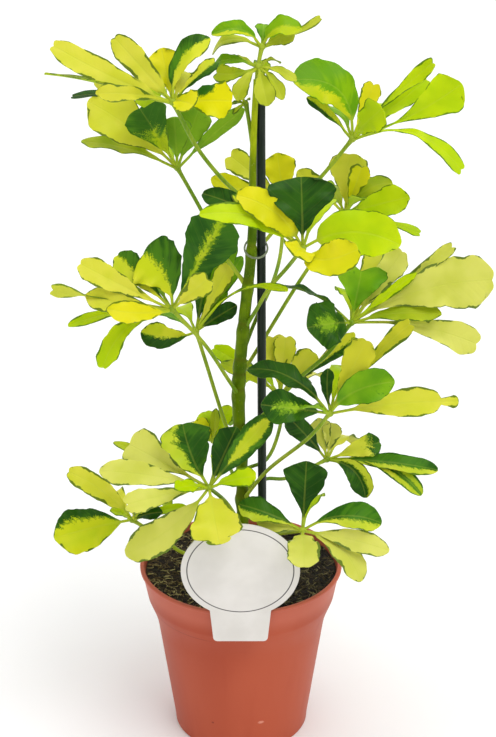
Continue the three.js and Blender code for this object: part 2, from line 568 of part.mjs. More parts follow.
// The inside face of the pot's wall, from the floor up to the given height.
function potInside(margin, top) {
  const collarFoot = POT_HEIGHT - COLLAR_DEPTH;
  const inset = WALL + margin;
  const slope = (COLLAR_TOP_RADIUS - COLLAR_FOOT_RADIUS) / (COLLAR_DEPTH - LIP_HEIGHT);
  return [[BASE_RADIUS - CORNER_RADIUS, FLOOR + margin], [BASE_RADIUS - inset, CORNER_RADIUS + 1],
    [WALL_TOP_RADIUS - inset, collarFoot - SHOULDER_HEIGHT], [COLLAR_FOOT_RADIUS - inset, collarFoot],
    [COLLAR_FOOT_RADIUS - inset + slope * (top - collarFoot), top]];
}

function potSolid() {
  const inside = potInside(0, POT_HEIGHT).reverse();
  let solid = turned([...potOutside(), ...inside, [0, FLOOR]], POT_SIDES);
  for (let i = 0; i < DRAIN_HOLES; i += 1) {
    const angle = (2 * Math.PI * i) / DRAIN_HOLES;
    const drill = new THREE.CylinderGeometry(DRAIN_RADIUS, DRAIN_RADIUS, 4 * FLOOR, DRAIN_SIDES);
    drill.rotateX(Math.PI / 2);
    drill.translate(DRAIN_CIRCLE * Math.cos(angle), DRAIN_CIRCLE * Math.sin(angle), FLOOR / 2);
    solid = solid.subtract(solidFrom(drill));
  }
  return solid;
}

function stakeSolid(margin) {
  const curve = new THREE.LineCurve3(point(STAKE_FOOT), point(STAKE_TOP));
  return rod(curve, [0, 1], () => STAKE_RADIUS + margin, STAKE_SIDES);
}

// The strip that hooks the label over the lip and runs down into the soil.
function labelHook(margin) {
  const front = -LIP_RADIUS - GAP - LABEL_THICKNESS / 2;
  const over = POT_HEIGHT + GAP;
  const [footY, footZ] = HOOK_FOOT;
  const outline = new THREE.Shape([
    [front, over - margin], [front, over + HOOK_THICKNESS],
    [HOOK_BEND + HOOK_THICKNESS + margin, over + HOOK_THICKNESS],
    [footY + HOOK_THICKNESS + margin, footZ - margin], [footY - margin, footZ - margin],
    [HOOK_BEND - margin, over - margin],
  ].map(([y, z]) => new THREE.Vector2(y, z)));
  const strip = new THREE.ExtrudeGeometry(outline, {
    depth: HOOK_WIDTH + 2 * margin, bevelEnabled: false,
  });
  strip.translate(0, 0, -HOOK_WIDTH / 2 - margin);
  strip.applyMatrix4(new THREE.Matrix4().makeBasis(
    new THREE.Vector3(0, 1, 0), new THREE.Vector3(0, 0, 1), new THREE.Vector3(1, 0, 0)));
  return solidFrom(strip);
}

function labelPlate(shape) {
  const plate = new THREE.ExtrudeGeometry(shape, {
    depth: LABEL_THICKNESS, bevelEnabled: false, curveSegments: 16,
  });
  plate.rotateX(Math.PI / 2);
  plate.translate(0, -LIP_RADIUS - GAP, 0);
  return solidFrom(plate);
}

function labelSolid() {
  const oval = new THREE.Shape();
  oval.absellipse(0, LABEL_CENTRE_HEIGHT, LABEL_WIDTH / 2, LABEL_HEIGHT / 2, 0, 2 * Math.PI);
  const [tabTop, halfTop, halfFoot] = [
    LABEL_CENTRE_HEIGHT - TAB_TOP_DROP, TAB_TOP_WIDTH / 2, TAB_FOOT_WIDTH / 2,
  ];
  const tab = new THREE.Shape();
  tab.moveTo(-halfTop, tabTop);
  tab.lineTo(-halfFoot, TAB_FOOT + TAB_ROUND);
  tab.quadraticCurveTo(-halfFoot, TAB_FOOT, -halfFoot + TAB_ROUND, TAB_FOOT);
  tab.lineTo(halfFoot - TAB_ROUND, TAB_FOOT);
  tab.quadraticCurveTo(halfFoot, TAB_FOOT, halfFoot, TAB_FOOT + TAB_ROUND);
  tab.lineTo(halfTop, tabTop);
  return labelPlate(oval).add(labelPlate(tab)).add(labelHook(0));
}

// Potting mix that fills the pot, with an uneven top and plain holes for what stands in it.
function soilSolid() {
  const wall = potInside(GAP, SOIL_LEVEL);
  const topRadius = wall[wall.length - 1][0];
  const crumbs = SOIL_RINGS.map((share) => [topRadius * share, SOIL_LEVEL]);
  const rings = [...wall, ...crumbs].map(([radius, height], i) => {
    const ring = [];
    for (let j = 0; j < SOIL_SIDES; j += 1) {
      const angle = (2 * Math.PI * j) / SOIL_SIDES;
      const relief = i < wall.length ? 0 : SOIL_RELIEF * (draw(i * 40 + j) - 0.3);
      ring.push(new THREE.Vector3(radius * Math.cos(angle), radius * Math.sin(angle), height + relief));
    }
    return ring;
  });
  return loft(rings).subtract(stemSolid(GAP)).subtract(stakeSolid(GAP)).subtract(labelHook(GAP));
}

// A loop of wire that holds the stem to the stake, lower in front than behind.
function tieSolid() {
  const loop = new THREE.TorusGeometry(TIE_RADIUS, TIE_WIRE, TIE_SIDES, TIE_STEPS);
  const tilt = THREE.MathUtils.degToRad(TIE_TILT);
  loop.scale(1, TIE_DEPTH / TIE_RADIUS / Math.cos(tilt), 1);
  loop.rotateX(tilt);
  loop.translate(...TIE_CENTRE);
  return solidFrom(loop);
}

const plant = new THREE.Group();

function addNode(name, solid, colour, roughness, metalness = 0) {
  const material = new THREE.MeshStandardMaterial({ color: colour, roughness, metalness });
  const mesh = new THREE.Mesh(geometryFrom(solid), material);
  mesh.name = name;
  plant.add(mesh);
}

addNode("pot", potSolid(), COLOURS.pot, 0.45);
addNode("soil", soilSolid(), COLOURS.soil, 0.95);
addNode("main_stem", stemSolid(0), COLOURS.stem, 0.5);
addNode("stake", stakeSolid(0), COLOURS.stake, 0.4);
addNode("wire_tie", tieSolid(), COLOURS.wire, 0.4, 0.6);
addNode("label", labelSolid(), COLOURS.label, 0.35);

const stemCutter = stemSolid(GAP);
const crown = LEAVES[0];
LEAVES.forEach((leaf, number) => {
  const [name] = leaf;
  if (name === "leaf_tip") return;
  let solid = leafSolid(leaf, number).subtract(stemCutter);
  if (leaf === crown) solid = solid.add(leafSolid(LEAVES[1], 1, point(crown[1])));
  addNode(name, mainBody(solid.simplify(SIMPLIFY)), COLOURS.leaf, 0.4);
});

export default plant;
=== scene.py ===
"""A variegated umbrella plant on a stake, in a plastic grower's pot, dressed for looks.

Sizes are in millimetres up to the point where a mesh is made, and Blender's metres after that.
+X is right, +Y points away from the camera and +Z is up, from the centre of the pot's underside.
"""

import math
import random

import bmesh
import bpy
import numpy as np
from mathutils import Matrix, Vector, noise


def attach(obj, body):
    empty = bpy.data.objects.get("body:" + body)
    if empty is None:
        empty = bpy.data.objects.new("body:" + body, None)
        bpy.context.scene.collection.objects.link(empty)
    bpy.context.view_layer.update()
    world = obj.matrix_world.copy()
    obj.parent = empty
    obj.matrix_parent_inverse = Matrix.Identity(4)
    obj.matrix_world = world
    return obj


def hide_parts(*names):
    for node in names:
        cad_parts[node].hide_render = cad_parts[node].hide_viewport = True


MM = 0.001
BODY = "root"

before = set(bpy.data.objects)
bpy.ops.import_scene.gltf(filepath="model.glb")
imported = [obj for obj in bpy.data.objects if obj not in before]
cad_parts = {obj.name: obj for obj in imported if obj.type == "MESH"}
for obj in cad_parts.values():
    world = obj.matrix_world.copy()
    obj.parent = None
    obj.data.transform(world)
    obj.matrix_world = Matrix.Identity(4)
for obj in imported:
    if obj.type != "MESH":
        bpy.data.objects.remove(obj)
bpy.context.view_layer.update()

# Camera, solved from the pot's lip, its collar and the label
CAMERA_PLACE = (4.2, -770, 530)
CAMERA_PITCH = 21.35
CAMERA_SENSOR = 36
CAMERA_LENS = 71.66

# Pot and label, as in the CAD source
POT_HEIGHT = 106
LIP_RADIUS = 59.8
LIP_HEIGHT = 1.8
COLLAR_DEPTH = 19
COLLAR_TOP_RADIUS = 58.6
COLLAR_FOOT_RADIUS = 55.4
WALL_TOP_RADIUS = 50.3
BASE_RADIUS = 40.3
CORNER_RADIUS = 3
SHOULDER_HEIGHT = 13
LIP_UNDERSIDE = 0.4
COLLAR_FOOT = POT_HEIGHT - COLLAR_DEPTH
COLLAR_SLOPE = (COLLAR_TOP_RADIUS - COLLAR_FOOT_RADIUS) / (COLLAR_DEPTH - LIP_HEIGHT)
WALL = 1.6
FLOOR = 2
DRAIN_HOLES = 6
DRAIN_RADIUS = 3.5
DRAIN_CIRCLE = 28
DRAIN_SIDES = 20
GAP = 0.3
SOIL_LEVEL = 102
STAKE_RADIUS = 2.5
STAKE_FOOT = (13.3, 4, 30)
STAKE_TOP = (10.9, 4, 381)
TIE_CENTRE = (8.6, 2, 299)
TIE_RADIUS = 6.3
TIE_DEPTH = 7.8
TIE_WIRE = 0.55
TIE_TILT = 23
LABEL_WIDTH = 65.5
LABEL_HEIGHT = 57.8
LABEL_CENTRE_HEIGHT = 133.4
TAB_JOIN_HALF_WIDTH = 17
TAB_FOOT_WIDTH = 30.6
TAB_FOOT = 89
TAB_ROUND = 2.5
LABEL_THICKNESS = 0.9
LABEL_BEVEL = 0.18
HOOK_HALF_WIDTH = 9
HOOK_THICKNESS = 1
HOOK_BEND = -55.2
HOOK_FOOT = (-45, 66)

# Leaves, as in the CAD source
STALK_SHARE = 0.15
STALK_HALF_WIDTH = 0.8
CURL_START = 0.65
EDGE_CALM = 0.85
TWIST_START = 0.3
FLARE_START = 0.7
HUB_RADIUS = 2.3
BUD_HUB_RADIUS = 1.2
BUD_LEAFLETS = 4
KNOB_SIDES = 14
PETIOLE_RADIUS = 1.1
PETIOLE_FOOT_RADIUS = 2.2
FOOT_LENGTH = 11
NECK_LENGTH = 7
CROWN_HEIGHT = 350

# The main stem's centre line, each point [x, y, z, radius]
STEM = [
    [1.6, 0, 72, 3.9], [1.5, 0, 100, 3.8], [1.2, 0, 130, 3.5], [0.8, 0.3, 150, 3.4],
    [0.6, 0.5, 172, 3.4], [-0.9, 0.4, 196, 3.6], [-1.4, 0, 216, 3.7], [0.3, 0, 240, 3.5],
    [2.8, 0, 266, 3.2], [5.6, 0, 290, 2.9], [6.8, 0, 314, 2.4], [6.6, 0, 327, 2.1],
    [6.9, 0, 354, 1.8], [7.9, 0, 380, 1.6], [8.8, -1, 392, 1.6],
]

# The form of each tip: [base power, tip power, share closed at the tip, notch] and any flare
TIP_FORMS = {
    "round": [1.1, 2.2, 0.975, 0],
    "oval": [0.8, 1.6, 0.97, 0],
    "blunt": [1.1, 3.4, 0.9, 0.03],
    "notch": [1.1, 3.6, 0.85, 0.07],
    "point": [0.9, 1.6, 0.985, 0],
    "spoon": [2.6, 3.2, 0.96, 0],
    "fan": [1.6, 5, 0.8, 0.04],
    "paddle": [1.4, 5, 0.95, 0],
    "cleft": [1.4, 4, 0.8, 0.16],
    "vase": [1, 2.2, 1.45, 0, 0.19],
    "strap": [0.4, 4, 0.85, 0.03],
    "taper": [0.5, 1.2, 0.97, 0],
    "wedge": [0.6, 3, 0.97, 0],
    "snout": [1, 3, 1.25, 0, 0.28],
}

# Every compound leaf, with the values that the CAD source has: name, hub, height on the stem, places
# its stalk passes through, and its leaflets as [right, back, up, arch, width, lean, colour, tip, curl,
# bend, side, twist], where the last four are 0 if left out.
LEAVES = [
    ["leaf_crown", [9.4, -2, 398.5], 392, [],
     [-11, -10, -16, 4, 9, 65, "tender", "round", 0, 0, -20], [5, -14, -18, 4, 11, 70, "tender", "round"],
     [13, -10, -15.5, 4, 7, 60, "tender", "round", 0, 0, 20], [20, -8, -6, 3, 6, 40, "tender", "round"],
     [-17, 12, 1, 3, 5, 20, "tender", "point"], [12, 12, 0, 3, 4, 20, "tender", "point"],
     [-23, 0, -3, 2, 10, 60, "olive", "notch", 0, -3], [-24, 8, 0, 5, 8, 45, "green", "round", -2],
     [3, 18, -7, 5, 9, -30, "lime", "round"]],
    ["leaf_tip", [11.5, 0, 408.5], 0, [],
     [-25, -6, 9, 7, 10, 40, "green_half", "point", -3], [-27, 6, -2, 6, 8, 35, "tender", "point", -4],
     [19, -4, 11, 5, 12, 45, "green_half_left", "point", -3, -2], [31, 5, 14, -2, 5, 40, "tender", "fan", 1],
     [17, 0, 6, 2, 9, 55, "tender", "oval"], [1, 10, 10, 2, 9, 60, "green", "round"],
     [10, 30, 2, 5, 12, 0, "lime", "round", -3]],
    ["leaf_bud", [3.1, 5, 378], 353, [],
     [-7, -4, -5, 1, 3, 30, "olive", "point"], [2, -4, 3, 1, 3, 30, "olive", "point"],
     [-5, 4, 4, 1, 3, 30, "olive", "point"], [-8, 3, -1, 1, 3, 30, "olive", "point"]],
    ["leaf_top_left", [-34, -28, 385], 326, [[-3, -9, 334], [-21, -20, 358]],
     [-60, -5, 30, 1, 13, 60, "cream", "strap", 0, -2], [-30, 8, 32, 0, 13, 75, "cream", "strap"],
     [-6, 14, 25, 0, 16, 75, "yellow", "round"], [18, 4, 32, 4, 13, 60, "half_left", "point", -3, -5, -20],
     [-63, -8, 17, 1, 8, -5, "olive", "point", -1], [-37, -18, 8, 3, 10, 50, "gold", "round"],
     [-40, 4, 9, 2, 9, 45, "cream", "round"], [-53, 10, 1, 3, 7, 20, "dark", "blunt"],
     [12, -24, 3, 2, 14, 60, "yellow", "blunt"], [31, -12, 3, 2, 19, 65, "spot", "blunt"],
     [23, 8, 20, 3, 8, 50, "half", "notch"], [7, 18, 12, 3, 12, 60, "cream", "round"],
     [-18, 45, -8, 5, 15, 0, "lime", "round", -3], [10, 42, 8, 5, 15, 0, "green", "round", -3]],
    ["leaf_upper_left", [-35, 30, 337], 277, [[-11, 10, 296], [-21, 20, 314]],
     [-53, 0, 15, 4, 11, 25, "olive", "point"], [-1, -6, 30, 2, 18, -85, "green", "round"],
     [13, 10, 33, 2, 18, -80, "green", "round"], [-20, -12, 37, 2, 25, 65, "lime_end", "fan"],
     [-48, -4, 38, 2, 27, 60, "cream", "round", 0, 2], [37, 16, 30, 2, 10, -70, "green", "round"],
     [-15, 42, 8, 4, 15, 0, "lime", "round", -3]],
    ["leaf_top_right", [61, 18, 356], 297, [[9, 9.5, 296.5], [14, 12, 300.5], [25, 14, 314], [45, 17, 336]],
     [-33, -6, 33, 6, 26, 50, "green_half", "oval", 0, 12, 10], [-25, 4, 22, 2, 7, 40, "half_left", "round"],
     [12, 8, 30, 0, 11, 70, "yellow", "notch"], [14, -20, 21, 2, 18, 60, "lime", "blunt"],
     [44, 2, 41, -2, 9, 55, "lime", "fan", 4, -3, -10], [42, 16, 30, 0, 12, 60, "lime", "blunt"],
     [57, -6, 31, 0, 23, 65, "lime", "spoon", 0, 3], [59, -16, -15, 15, 12, 30, "lime", "fan", 0, -2],
     [-12, 42, 10, 6, 16, 0, "green", "round", -4], [28, 38, 12, 5, 15, 0, "lime", "round", -3]],
    ["leaf_front_centre", [32, -52, 315], 252, [[8, -4, 264], [15, -8, 278], [25, -24, 296]],
     [-1, 4, 36, 3, 35, 75, "dark", "paddle", -2], [49, -8, 4, 4, 24, 65, "lime", "taper", 0, -7],
     [27, -26, 8, 3, 18, 60, "yellow", "strap", 0, 7], [-5, -15, 1, 2, 18, 60, "yellow", "round"],
     [-34, 0, 28, 3, 17, 60, "yellow", "taper", 0, 5], [-52, -8, 20, 2, 12, 55, "lime", "taper", 0, 7],
     [-36, 8, 26, 4, 8, 40, "half", "round"], [-51, 14, 26, 6, 13, 45, "dark", "round", -2],
     [15, 40, 18, 5, 16, 10, "lime", "round", -3]],
    ["leaf_back_right", [59, 32, 310], 222, [[4, 8, 228], [13, 12, 242], [32, 20, 272]],
     [2, 10, 33, 1, 22, 75, "cream", "blunt"], [9, -4, 30, 1, 12, 70, "yellow", "notch"],
     [26, 4, 18, 4, 12, 45, "olive", "point", -3, -3], [8, -16, 14, 3, 9, -40, "lime", "round"],
     [35, -8, 12, 2, 17, 60, "lime", "point"], [43, -6, -10, 2, 7, 30, "lime", "fan"],
     [-27, 8, 23, 2, 12, 60, "cream", "round"], [-10, 30, 8, 4, 14, 20, "olive", "round"],
     [12, 42, 5, 6, 18, 0, "lime", "round", -4], [38, 32, 2, 5, 15, 0, "green", "round", -3]],
    ["leaf_back_centre", [25, 55, 312], 231, [[3, 5, 241], [9, 9.3, 256], [18, 20, 273], [23, 38, 286]],
     [-4, 8, 26, 1, 19, 75, "yellow", "point"], [-33, 6, 26, 2, 15, 60, "cream", "notch"],
     [-42, -4, 14, 2, 13, 55, "yellow", "point", 0, -2], [-32, 32, -5, 5, 15, 0, "dark", "round", -4],
     [6, 40, 0, 6, 16, 0, "green", "round", -4], [30, 30, 2, 5, 15, 0, "lime", "round", -3]],
    ["leaf_right", [61, -10, 260], 191, [[5, -4, 196], [12, -5, 202], [33, -7, 226], [48, -9, 241]],
     [77, -8, 27, 3, 29, 65, "pale", "blunt", 0, -6], [56, 4, 43, 3, 8, 40, "pale", "fan", 2, 1],
     [48, -12, 8, 3, 12, 35, "olive", "point", 2, -2], [69, -18, -7, 3, 17, 60, "pale", "fan", 0, -4],
     [6, 6, 33, 1, 29, 75, "green", "cleft"], [29, 16, 37, 1, 15, 65, "pale", "blunt"],
     [22, 30, 38, 2, 20, 60, "cream", "round"], [34, -4, 30, 1, 6, 50, "lime", "point"],
     [-43, 10, 19, 5, 12, -10, "dark", "round", -2], [-25, -22, 5, 3, 26, 60, "heart", "oval"],
     [2, 45, 5, 6, 18, 0, "lime", "round", -4], [32, 38, 8, 6, 16, 0, "cream", "round", -4]],
    ["leaf_lower_right", [48, -48, 222], 146, [[15, -16, 173], [38, -38, 204]],
     [-43, 12, 23, 9, 14, 25, "dark", "point", -4], [-37, -14, 11, 3, 18, 65, "heart", "round"],
     [19, 2, 42, 1, 16, 60, "gold", "blunt"], [32, -12, 23, 4, 18, 60, "green", "point", -2, -4],
     [43, 6, 50, -3, 10, 50, "gold", "fan", 0, -3], [67, -10, 11, 0, 16, 55, "cream", "vase", 0, -2],
     [-16, -16, 10, 2, 8, -30, "green", "round"], [-1, 10, 22, 2, 8, 60, "dark", "round", 0, 0, -30],
     [12, 42, 12, 6, 16, 0, "lime", "round", -4]],
    ["leaf_back_lower_right", [52, 38, 155], 148, [[6, 8.5, 152], [15, 13, 154], [27, 20, 151]],
     [-5, 10, 23, 1, 13, 75, "pale", "round", 2], [4, 10, 20, 1, 12, 75, "pale", "blunt", 2],
     [33, 4, 10, 2, 14, 60, "green_tip", "blunt"], [68, 2, -8, 5, 12, 42, "dark_half_left", "point"],
     [58, -8, -19, 6, 13, 30, "stripe", "round", -2, -6],
     [23, -14, -19, 5, 14, 35, "dark_half", "oval", 0, -6, -20], [-26, -14, 36, 2, 14, 50, "dark", "round"],
     [18, 40, -2, 6, 16, 0, "cream", "round", -5], [42, 32, -15, 6, 15, 0, "green", "round", -4]],
    ["leaf_pot_right", [34, -54, 155], 112, [],
     [2, 8, 38, 1, 24, 75, "dark", "paddle"], [43, -2, 6, 6, 16, 45, "dark_half_left", "round", -2, -4],
     [47, -10, -7, 3, 13, 45, "pale", "point", -1], [31, -18, -22, 5, 16, 45, "pale", "wedge", 0, -5, 20],
     [0, -26, -9, 3, 18, 60, "pale", "strap"], [-25, 2, 4, 1, 12, 50, "pale", "round"],
     [-35, 6, 13, 5, 14, 45, "dark_half", "round"], [8, 38, 5, 5, 15, 0, "lime", "round", -4]],
    ["leaf_left", [-36, -34, 276], 213, [[-7, -11, 227], [-19, -24, 252]],
     [-64, -8, 14, 0, 9, 60, "cream", "fan", 0, 0, 0, 150], [-49, 0, 26, 3, 14, 60, "cream", "blunt", 0, -1],
     [-45, -6, 10, 2, 13, 60, "cream", "round", 0, -2], [-16, 6, 29, 2, 31, 70, "half", "blunt", 0, 5],
     [-30, 12, 27, 2, 15, 60, "half", "blunt"], [-33, -20, 7, 3, 12, 55, "yellow", "point", 0, -3],
     [-56, 2, -10, 3, 7, 40, "lime", "round", 0, 2], [-37, -14, -29, 2, 14, 45, "lime", "blunt", 0, 8, 0, 30],
     [28, 6, 50, 2, 28, 75, "vein", "blunt"], [21, -18, 24, 2, 13, 70, "cream", "notch"],
     [-25, 40, 8, 6, 18, 0, "green", "round", -4]],
    ["leaf_inner_left", [-25, 4, 250], 175, [[-8, 2, 192], [-13, 3, 208], [-19, 4, 229]],
     [-30, -12, 4, 2, 15, 55, "half_left", "round", 0, -4], [23, 4, 14, 2, 10, 60, "dark", "point"],
     [16, 12, 23, 2, 10, 50, "green", "round"], [19, 6, 38, 1, 11, 70, "cream", "blunt"],
     [50, -36, 36, 6, 6, 30, "lime", "spoon", 0, -10], [26, 22, 37, 2, 9, 60, "green", "point"],
     [7, 12, 35, 2, 12, 60, "dark", "round"], [22, 16, 48, 2, 10, 60, "green", "point"],
     [-15, 40, 0, 6, 16, 0, "lime", "round", -4], [-34, 20, 2, 5, 14, 0, "green", "round", -4]],
    ["leaf_lower_left", [-17, -52, 180], 128, [],
     [-14, 4, 37, 2, 27, 70, "dark_half", "blunt", 0, -2], [15, 4, 34, 2, 17, 65, "dark", "round"],
     [34, 2, 42, 4, 14, 60, "edged", "point"], [6, -28, -20, 4, 28, 60, "cream", "snout"],
     [26, -12, 13, 2, 11, 45, "lime", "blunt"], [-17, -22, 10, 2, 10, 30, "lime", "round"],
     [-45, 10, 22, 2, 24, 55, "pale", "fan"], [-53, 20, 18, 3, 6, 30, "olive", "round"],
     [-59, -2, 11, 5, 15, 45, "pale", "round"], [-46, -8, -36, 4, 19, 55, "pale", "oval", 0, -5],
     [-46, -18, -2, 3, 13, 50, "pale", "notch"], [12, 40, 8, 5, 15, 0, "lime", "round", -4],
     [-20, 38, 5, 5, 15, 0, "green", "round", -4]],
    ["leaf_pot_left", [-62, -20, 144], 107, [[-17, -7, 112], [-34, -12, 118.5], [-43, -14.5, 127]],
     [-44, -8, -7.5, -4, 26, 60, "strip", "oval", 0, 1], [-37, 6, 28, 2, 13, 60, "cream", "strap", 0, 3],
     [11, -14, 18, 3, 8, 40, "yellow", "round"], [-11, -12, 12, 1, 6, 30, "lime", "point"],
     [32, -10, 13, 3, 6, 40, "lime", "round"], [18, -12, 11, 2, 8, 40, "dark", "round"],
     [-20, 35, 0, 5, 15, 0, "cream", "round", -4], [18, 35, -5, 5, 15, 0, "lime", "round", -4]],
    ["leaf_back_left", [-17, 48, 163], 150, [],
     [-10, 0, 13, 2, 11, 60, "yellow", "round", -3], [-5, 6, 17, 2, 12, 60, "lime", "blunt", -2],
     [2, -4, 23, 2, 6, 50, "olive", "point"], [10, 4, 21, 2, 10, 60, "lime", "round", -3],
     [-25, 30, -5, 5, 15, 0, "cream", "round", -4], [10, 38, -2, 6, 16, 0, "green", "round", -4],
     [-32, 10, -6, 5, 14, 20, "lime", "round", -3]],
    ["leaf_back_middle", [24, 58, 189], 160, [[3, 7, 163], [15, 14, 166], [24, 36, 181]],
     [-5, 6, 38, 1, 18, 75, "cream", "notch"], [3, 2, 39, 1, 14, 70, "cream", "notch"],
     [20, 0, 29, 2, 16, 60, "cream", "blunt"], [46, -8, 42, 3, 11, 55, "half", "fan"],
     [-40, -4, 33, 3, 11, 50, "lime", "blunt", -4], [-35, -12, 26, 3, 10, 40, "olive", "round", -2],
     [18, 4, 9, 3, 12, 20, "dark", "round", -3], [5, 42, 2, 6, 18, 0, "green", "round", -5],
     [-22, 35, -2, 6, 16, 0, "lime", "round", -4], [30, 32, 0, 6, 16, 0, "cream", "round", -4]],
]

COLOUR_COLUMN = 6
LEAFLET_STEPS = 26
LEAFLET_LANES = 12
STALK_STEPS = 4
PETIOLE_SIDES = 12
PETIOLE_STEP = 3
RIB_THICKNESS = 0.75
EDGE_THICKNESS = 0.38
STALK_FADE = 0.14
GROOVE_DEPTH = 0.12
GROOVE_WIDTH = 0.9
RUFFLED_TIPS = ("notch", "blunt")
RUFFLE = 1.7
STEM_SIDES = 28
STEM_STEP = 1.5
STEM_SMOOTHING = 8
SCAR_RISE = 4.2
STAKE_SIDES = 32
STAKE_STEPS = 30
TIE_STEPS = 96
TIE_SIDES = 12
OVAL_STEPS = 120
TAB_STEPS = 6
POT_SIDES = 160
SOIL_RINGS = 70
# Height of a short line of painted shade under the collar's step, on the pot's left side
STEP_SHADE_HEIGHT = 82.5
PALE_RUB = ((11.8, -43, 21.5), (2.4, 9, 1.2))
DARK_SPECK = ((-16.5, -40, 20), (0.9, 9, 0.8))
SOIL_SPOKES = 180
FIBRES = 2400
FIBRE_SEED = 11
FIBRE_SHAPE = (0.5, 0.9, 1, 0.9, 0.4)
FIBRE_SIDES = 4
LINE_WIDTH = 0.7
LINE_MARGIN = 3.4
LINE_BLUR = 0.12
# Painted shade on the potting mix and its fibres, growing towards the right side
SHADE_START = -5
SHADE_END = 25
SHADE_DARKNESS = 0.6

# Studio light: each soft sun's name, azimuth and elevation in degrees, its spread and strength
WORLD_LIGHT = 0.62
FLOOR_REACH = 30
LIGHTS = [
    ("key_light", 42, 58, 36, 1.1),
    ("top_light", 200, 78, 60, 0.9),
]


def draw(number):
    """A repeatable draw from 0 to 1 for the given number, as in the CAD source."""
    value = math.sin(number * 78.233) * 43758.5453
    return value - math.floor(value)


def paint(red, green, blue):
    """A colour in Blender's linear light from the usual 0 to 255 scale."""
    shares = (channel / 255 for channel in (red, green, blue))
    return (*(s / 12.92 if s <= 0.04045 else ((s + 0.055) / 1.055) ** 2.4 for s in shares), 1)


def unit(vectors):
    return vectors / np.linalg.norm(vectors, axis=-1, keepdims=True)


def operation(name):
    """A method that adds the Math node of that name."""
    return lambda self, *others: self.shader.math(name, self, *others)


class Signal:
    """A value that varies over a surface and takes part in ordinary arithmetic."""

    __add__ = __radd__ = operation("ADD")
    __mul__ = __rmul__ = operation("MULTIPLY")
    __sub__ = operation("SUBTRACT")
    __truediv__ = operation("DIVIDE")
    __pow__ = operation("POWER")
    __abs__ = operation("ABSOLUTE")
    root = operation("SQRT")
    sine = operation("SINE")
    sign = operation("SIGN")

    def __init__(self, shader, socket):
        self.shader = shader
        self.socket = socket

    def __rsub__(self, other):
        return self.shader.math("SUBTRACT", other, self)


class Shader:
    """One procedural material, made a node at a time."""

    def __init__(self, name):
        self.material = bpy.data.materials.new(name)
        self.material.use_nodes = True
        self.tree = self.material.node_tree
        self.surface = self.tree.nodes["Principled BSDF"]

    def put(self, socket, value):
        if isinstance(value, Signal):
            self.tree.links.new(value.socket, socket)
        else:
            socket.default_value = value

    def set(self, name, value):
        self.put(self.surface.inputs[name], value)

    def node(self, kind, output, inputs, **settings):
        """Adds a node with its settings and inputs, and gives one of its outputs."""
        node = self.tree.nodes.new("ShaderNode" + kind)
        for name, value in settings.items():
            setattr(node, name, value)
        for name, value in inputs.items():
            self.put(node.inputs[name], value)
        return Signal(self, node.outputs[output])

    def math(self, name, *values):
        return self.node("Math", 0, dict(enumerate(values)), operation=name)

    def vector(self, name, *values, output=0):
        return self.node("VectorMath", output, dict(enumerate(values)), operation=name)

    def scaled(self, vector, factors):
        return self.vector("MULTIPLY", vector, factors)

    def ramped(self, value, low, high):
        """0 below low, 1 above high and smooth between them; low may be the larger."""
        ends = {"Value": value, "From Min": low, "From Max": high}
        return self.node("MapRange", "Result", ends, interpolation_type="SMOOTHSTEP")

    def attribute(self, name, output="Vector"):
        return self.node("Attribute", output, {}, attribute_name=name)

    def position(self):
        """The place on the surface in millimetres."""
        return self.scaled(self.node("NewGeometry", "Position", {}), (1 / MM,) * 3)

    def split(self, vector):
        x = self.node("SeparateXYZ", 0, {0: vector})
        return [Signal(self, output) for output in x.socket.node.outputs]

    def join(self, *parts):
        return self.node("CombineXYZ", 0, dict(enumerate(parts)))

    def noise(self, vector, scale, detail=2, roughness=0.5):
        inputs = {"Vector": vector, "Scale": scale, "Detail": detail, "Roughness": roughness}
        return self.node("TexNoise", "Fac", inputs)

    def blend(self, share, first, second):
        """Mixes two colours, each one a signal or plain red, green and blue from 0 to 255."""
        first, second = (paint(*c) if isinstance(c, tuple) else c for c in (first, second))
        return self.node("Mix", 2, {"Factor": share, 6: first, 7: second}, data_type="RGBA")

    def layered(self, colour, *layers):
        """Lays more colours over the first one, each with its share."""
        for share, over in layers:
            colour = self.blend(share, colour, over)
        return colour

    def bump(self, height, distance, strength):
        """Raises the surface by height times distance, in millimetres."""
        inputs = {"Height": height, "Distance": distance * MM, "Strength": strength}
        self.set("Normal", self.node("Bump", 0, inputs))

    def finished(self, colour, roughness, specular=0.5):
        self.set("Base Color", colour)
        self.set("Roughness", roughness)
        self.set("Specular IOR Level", specular)
        return self.material


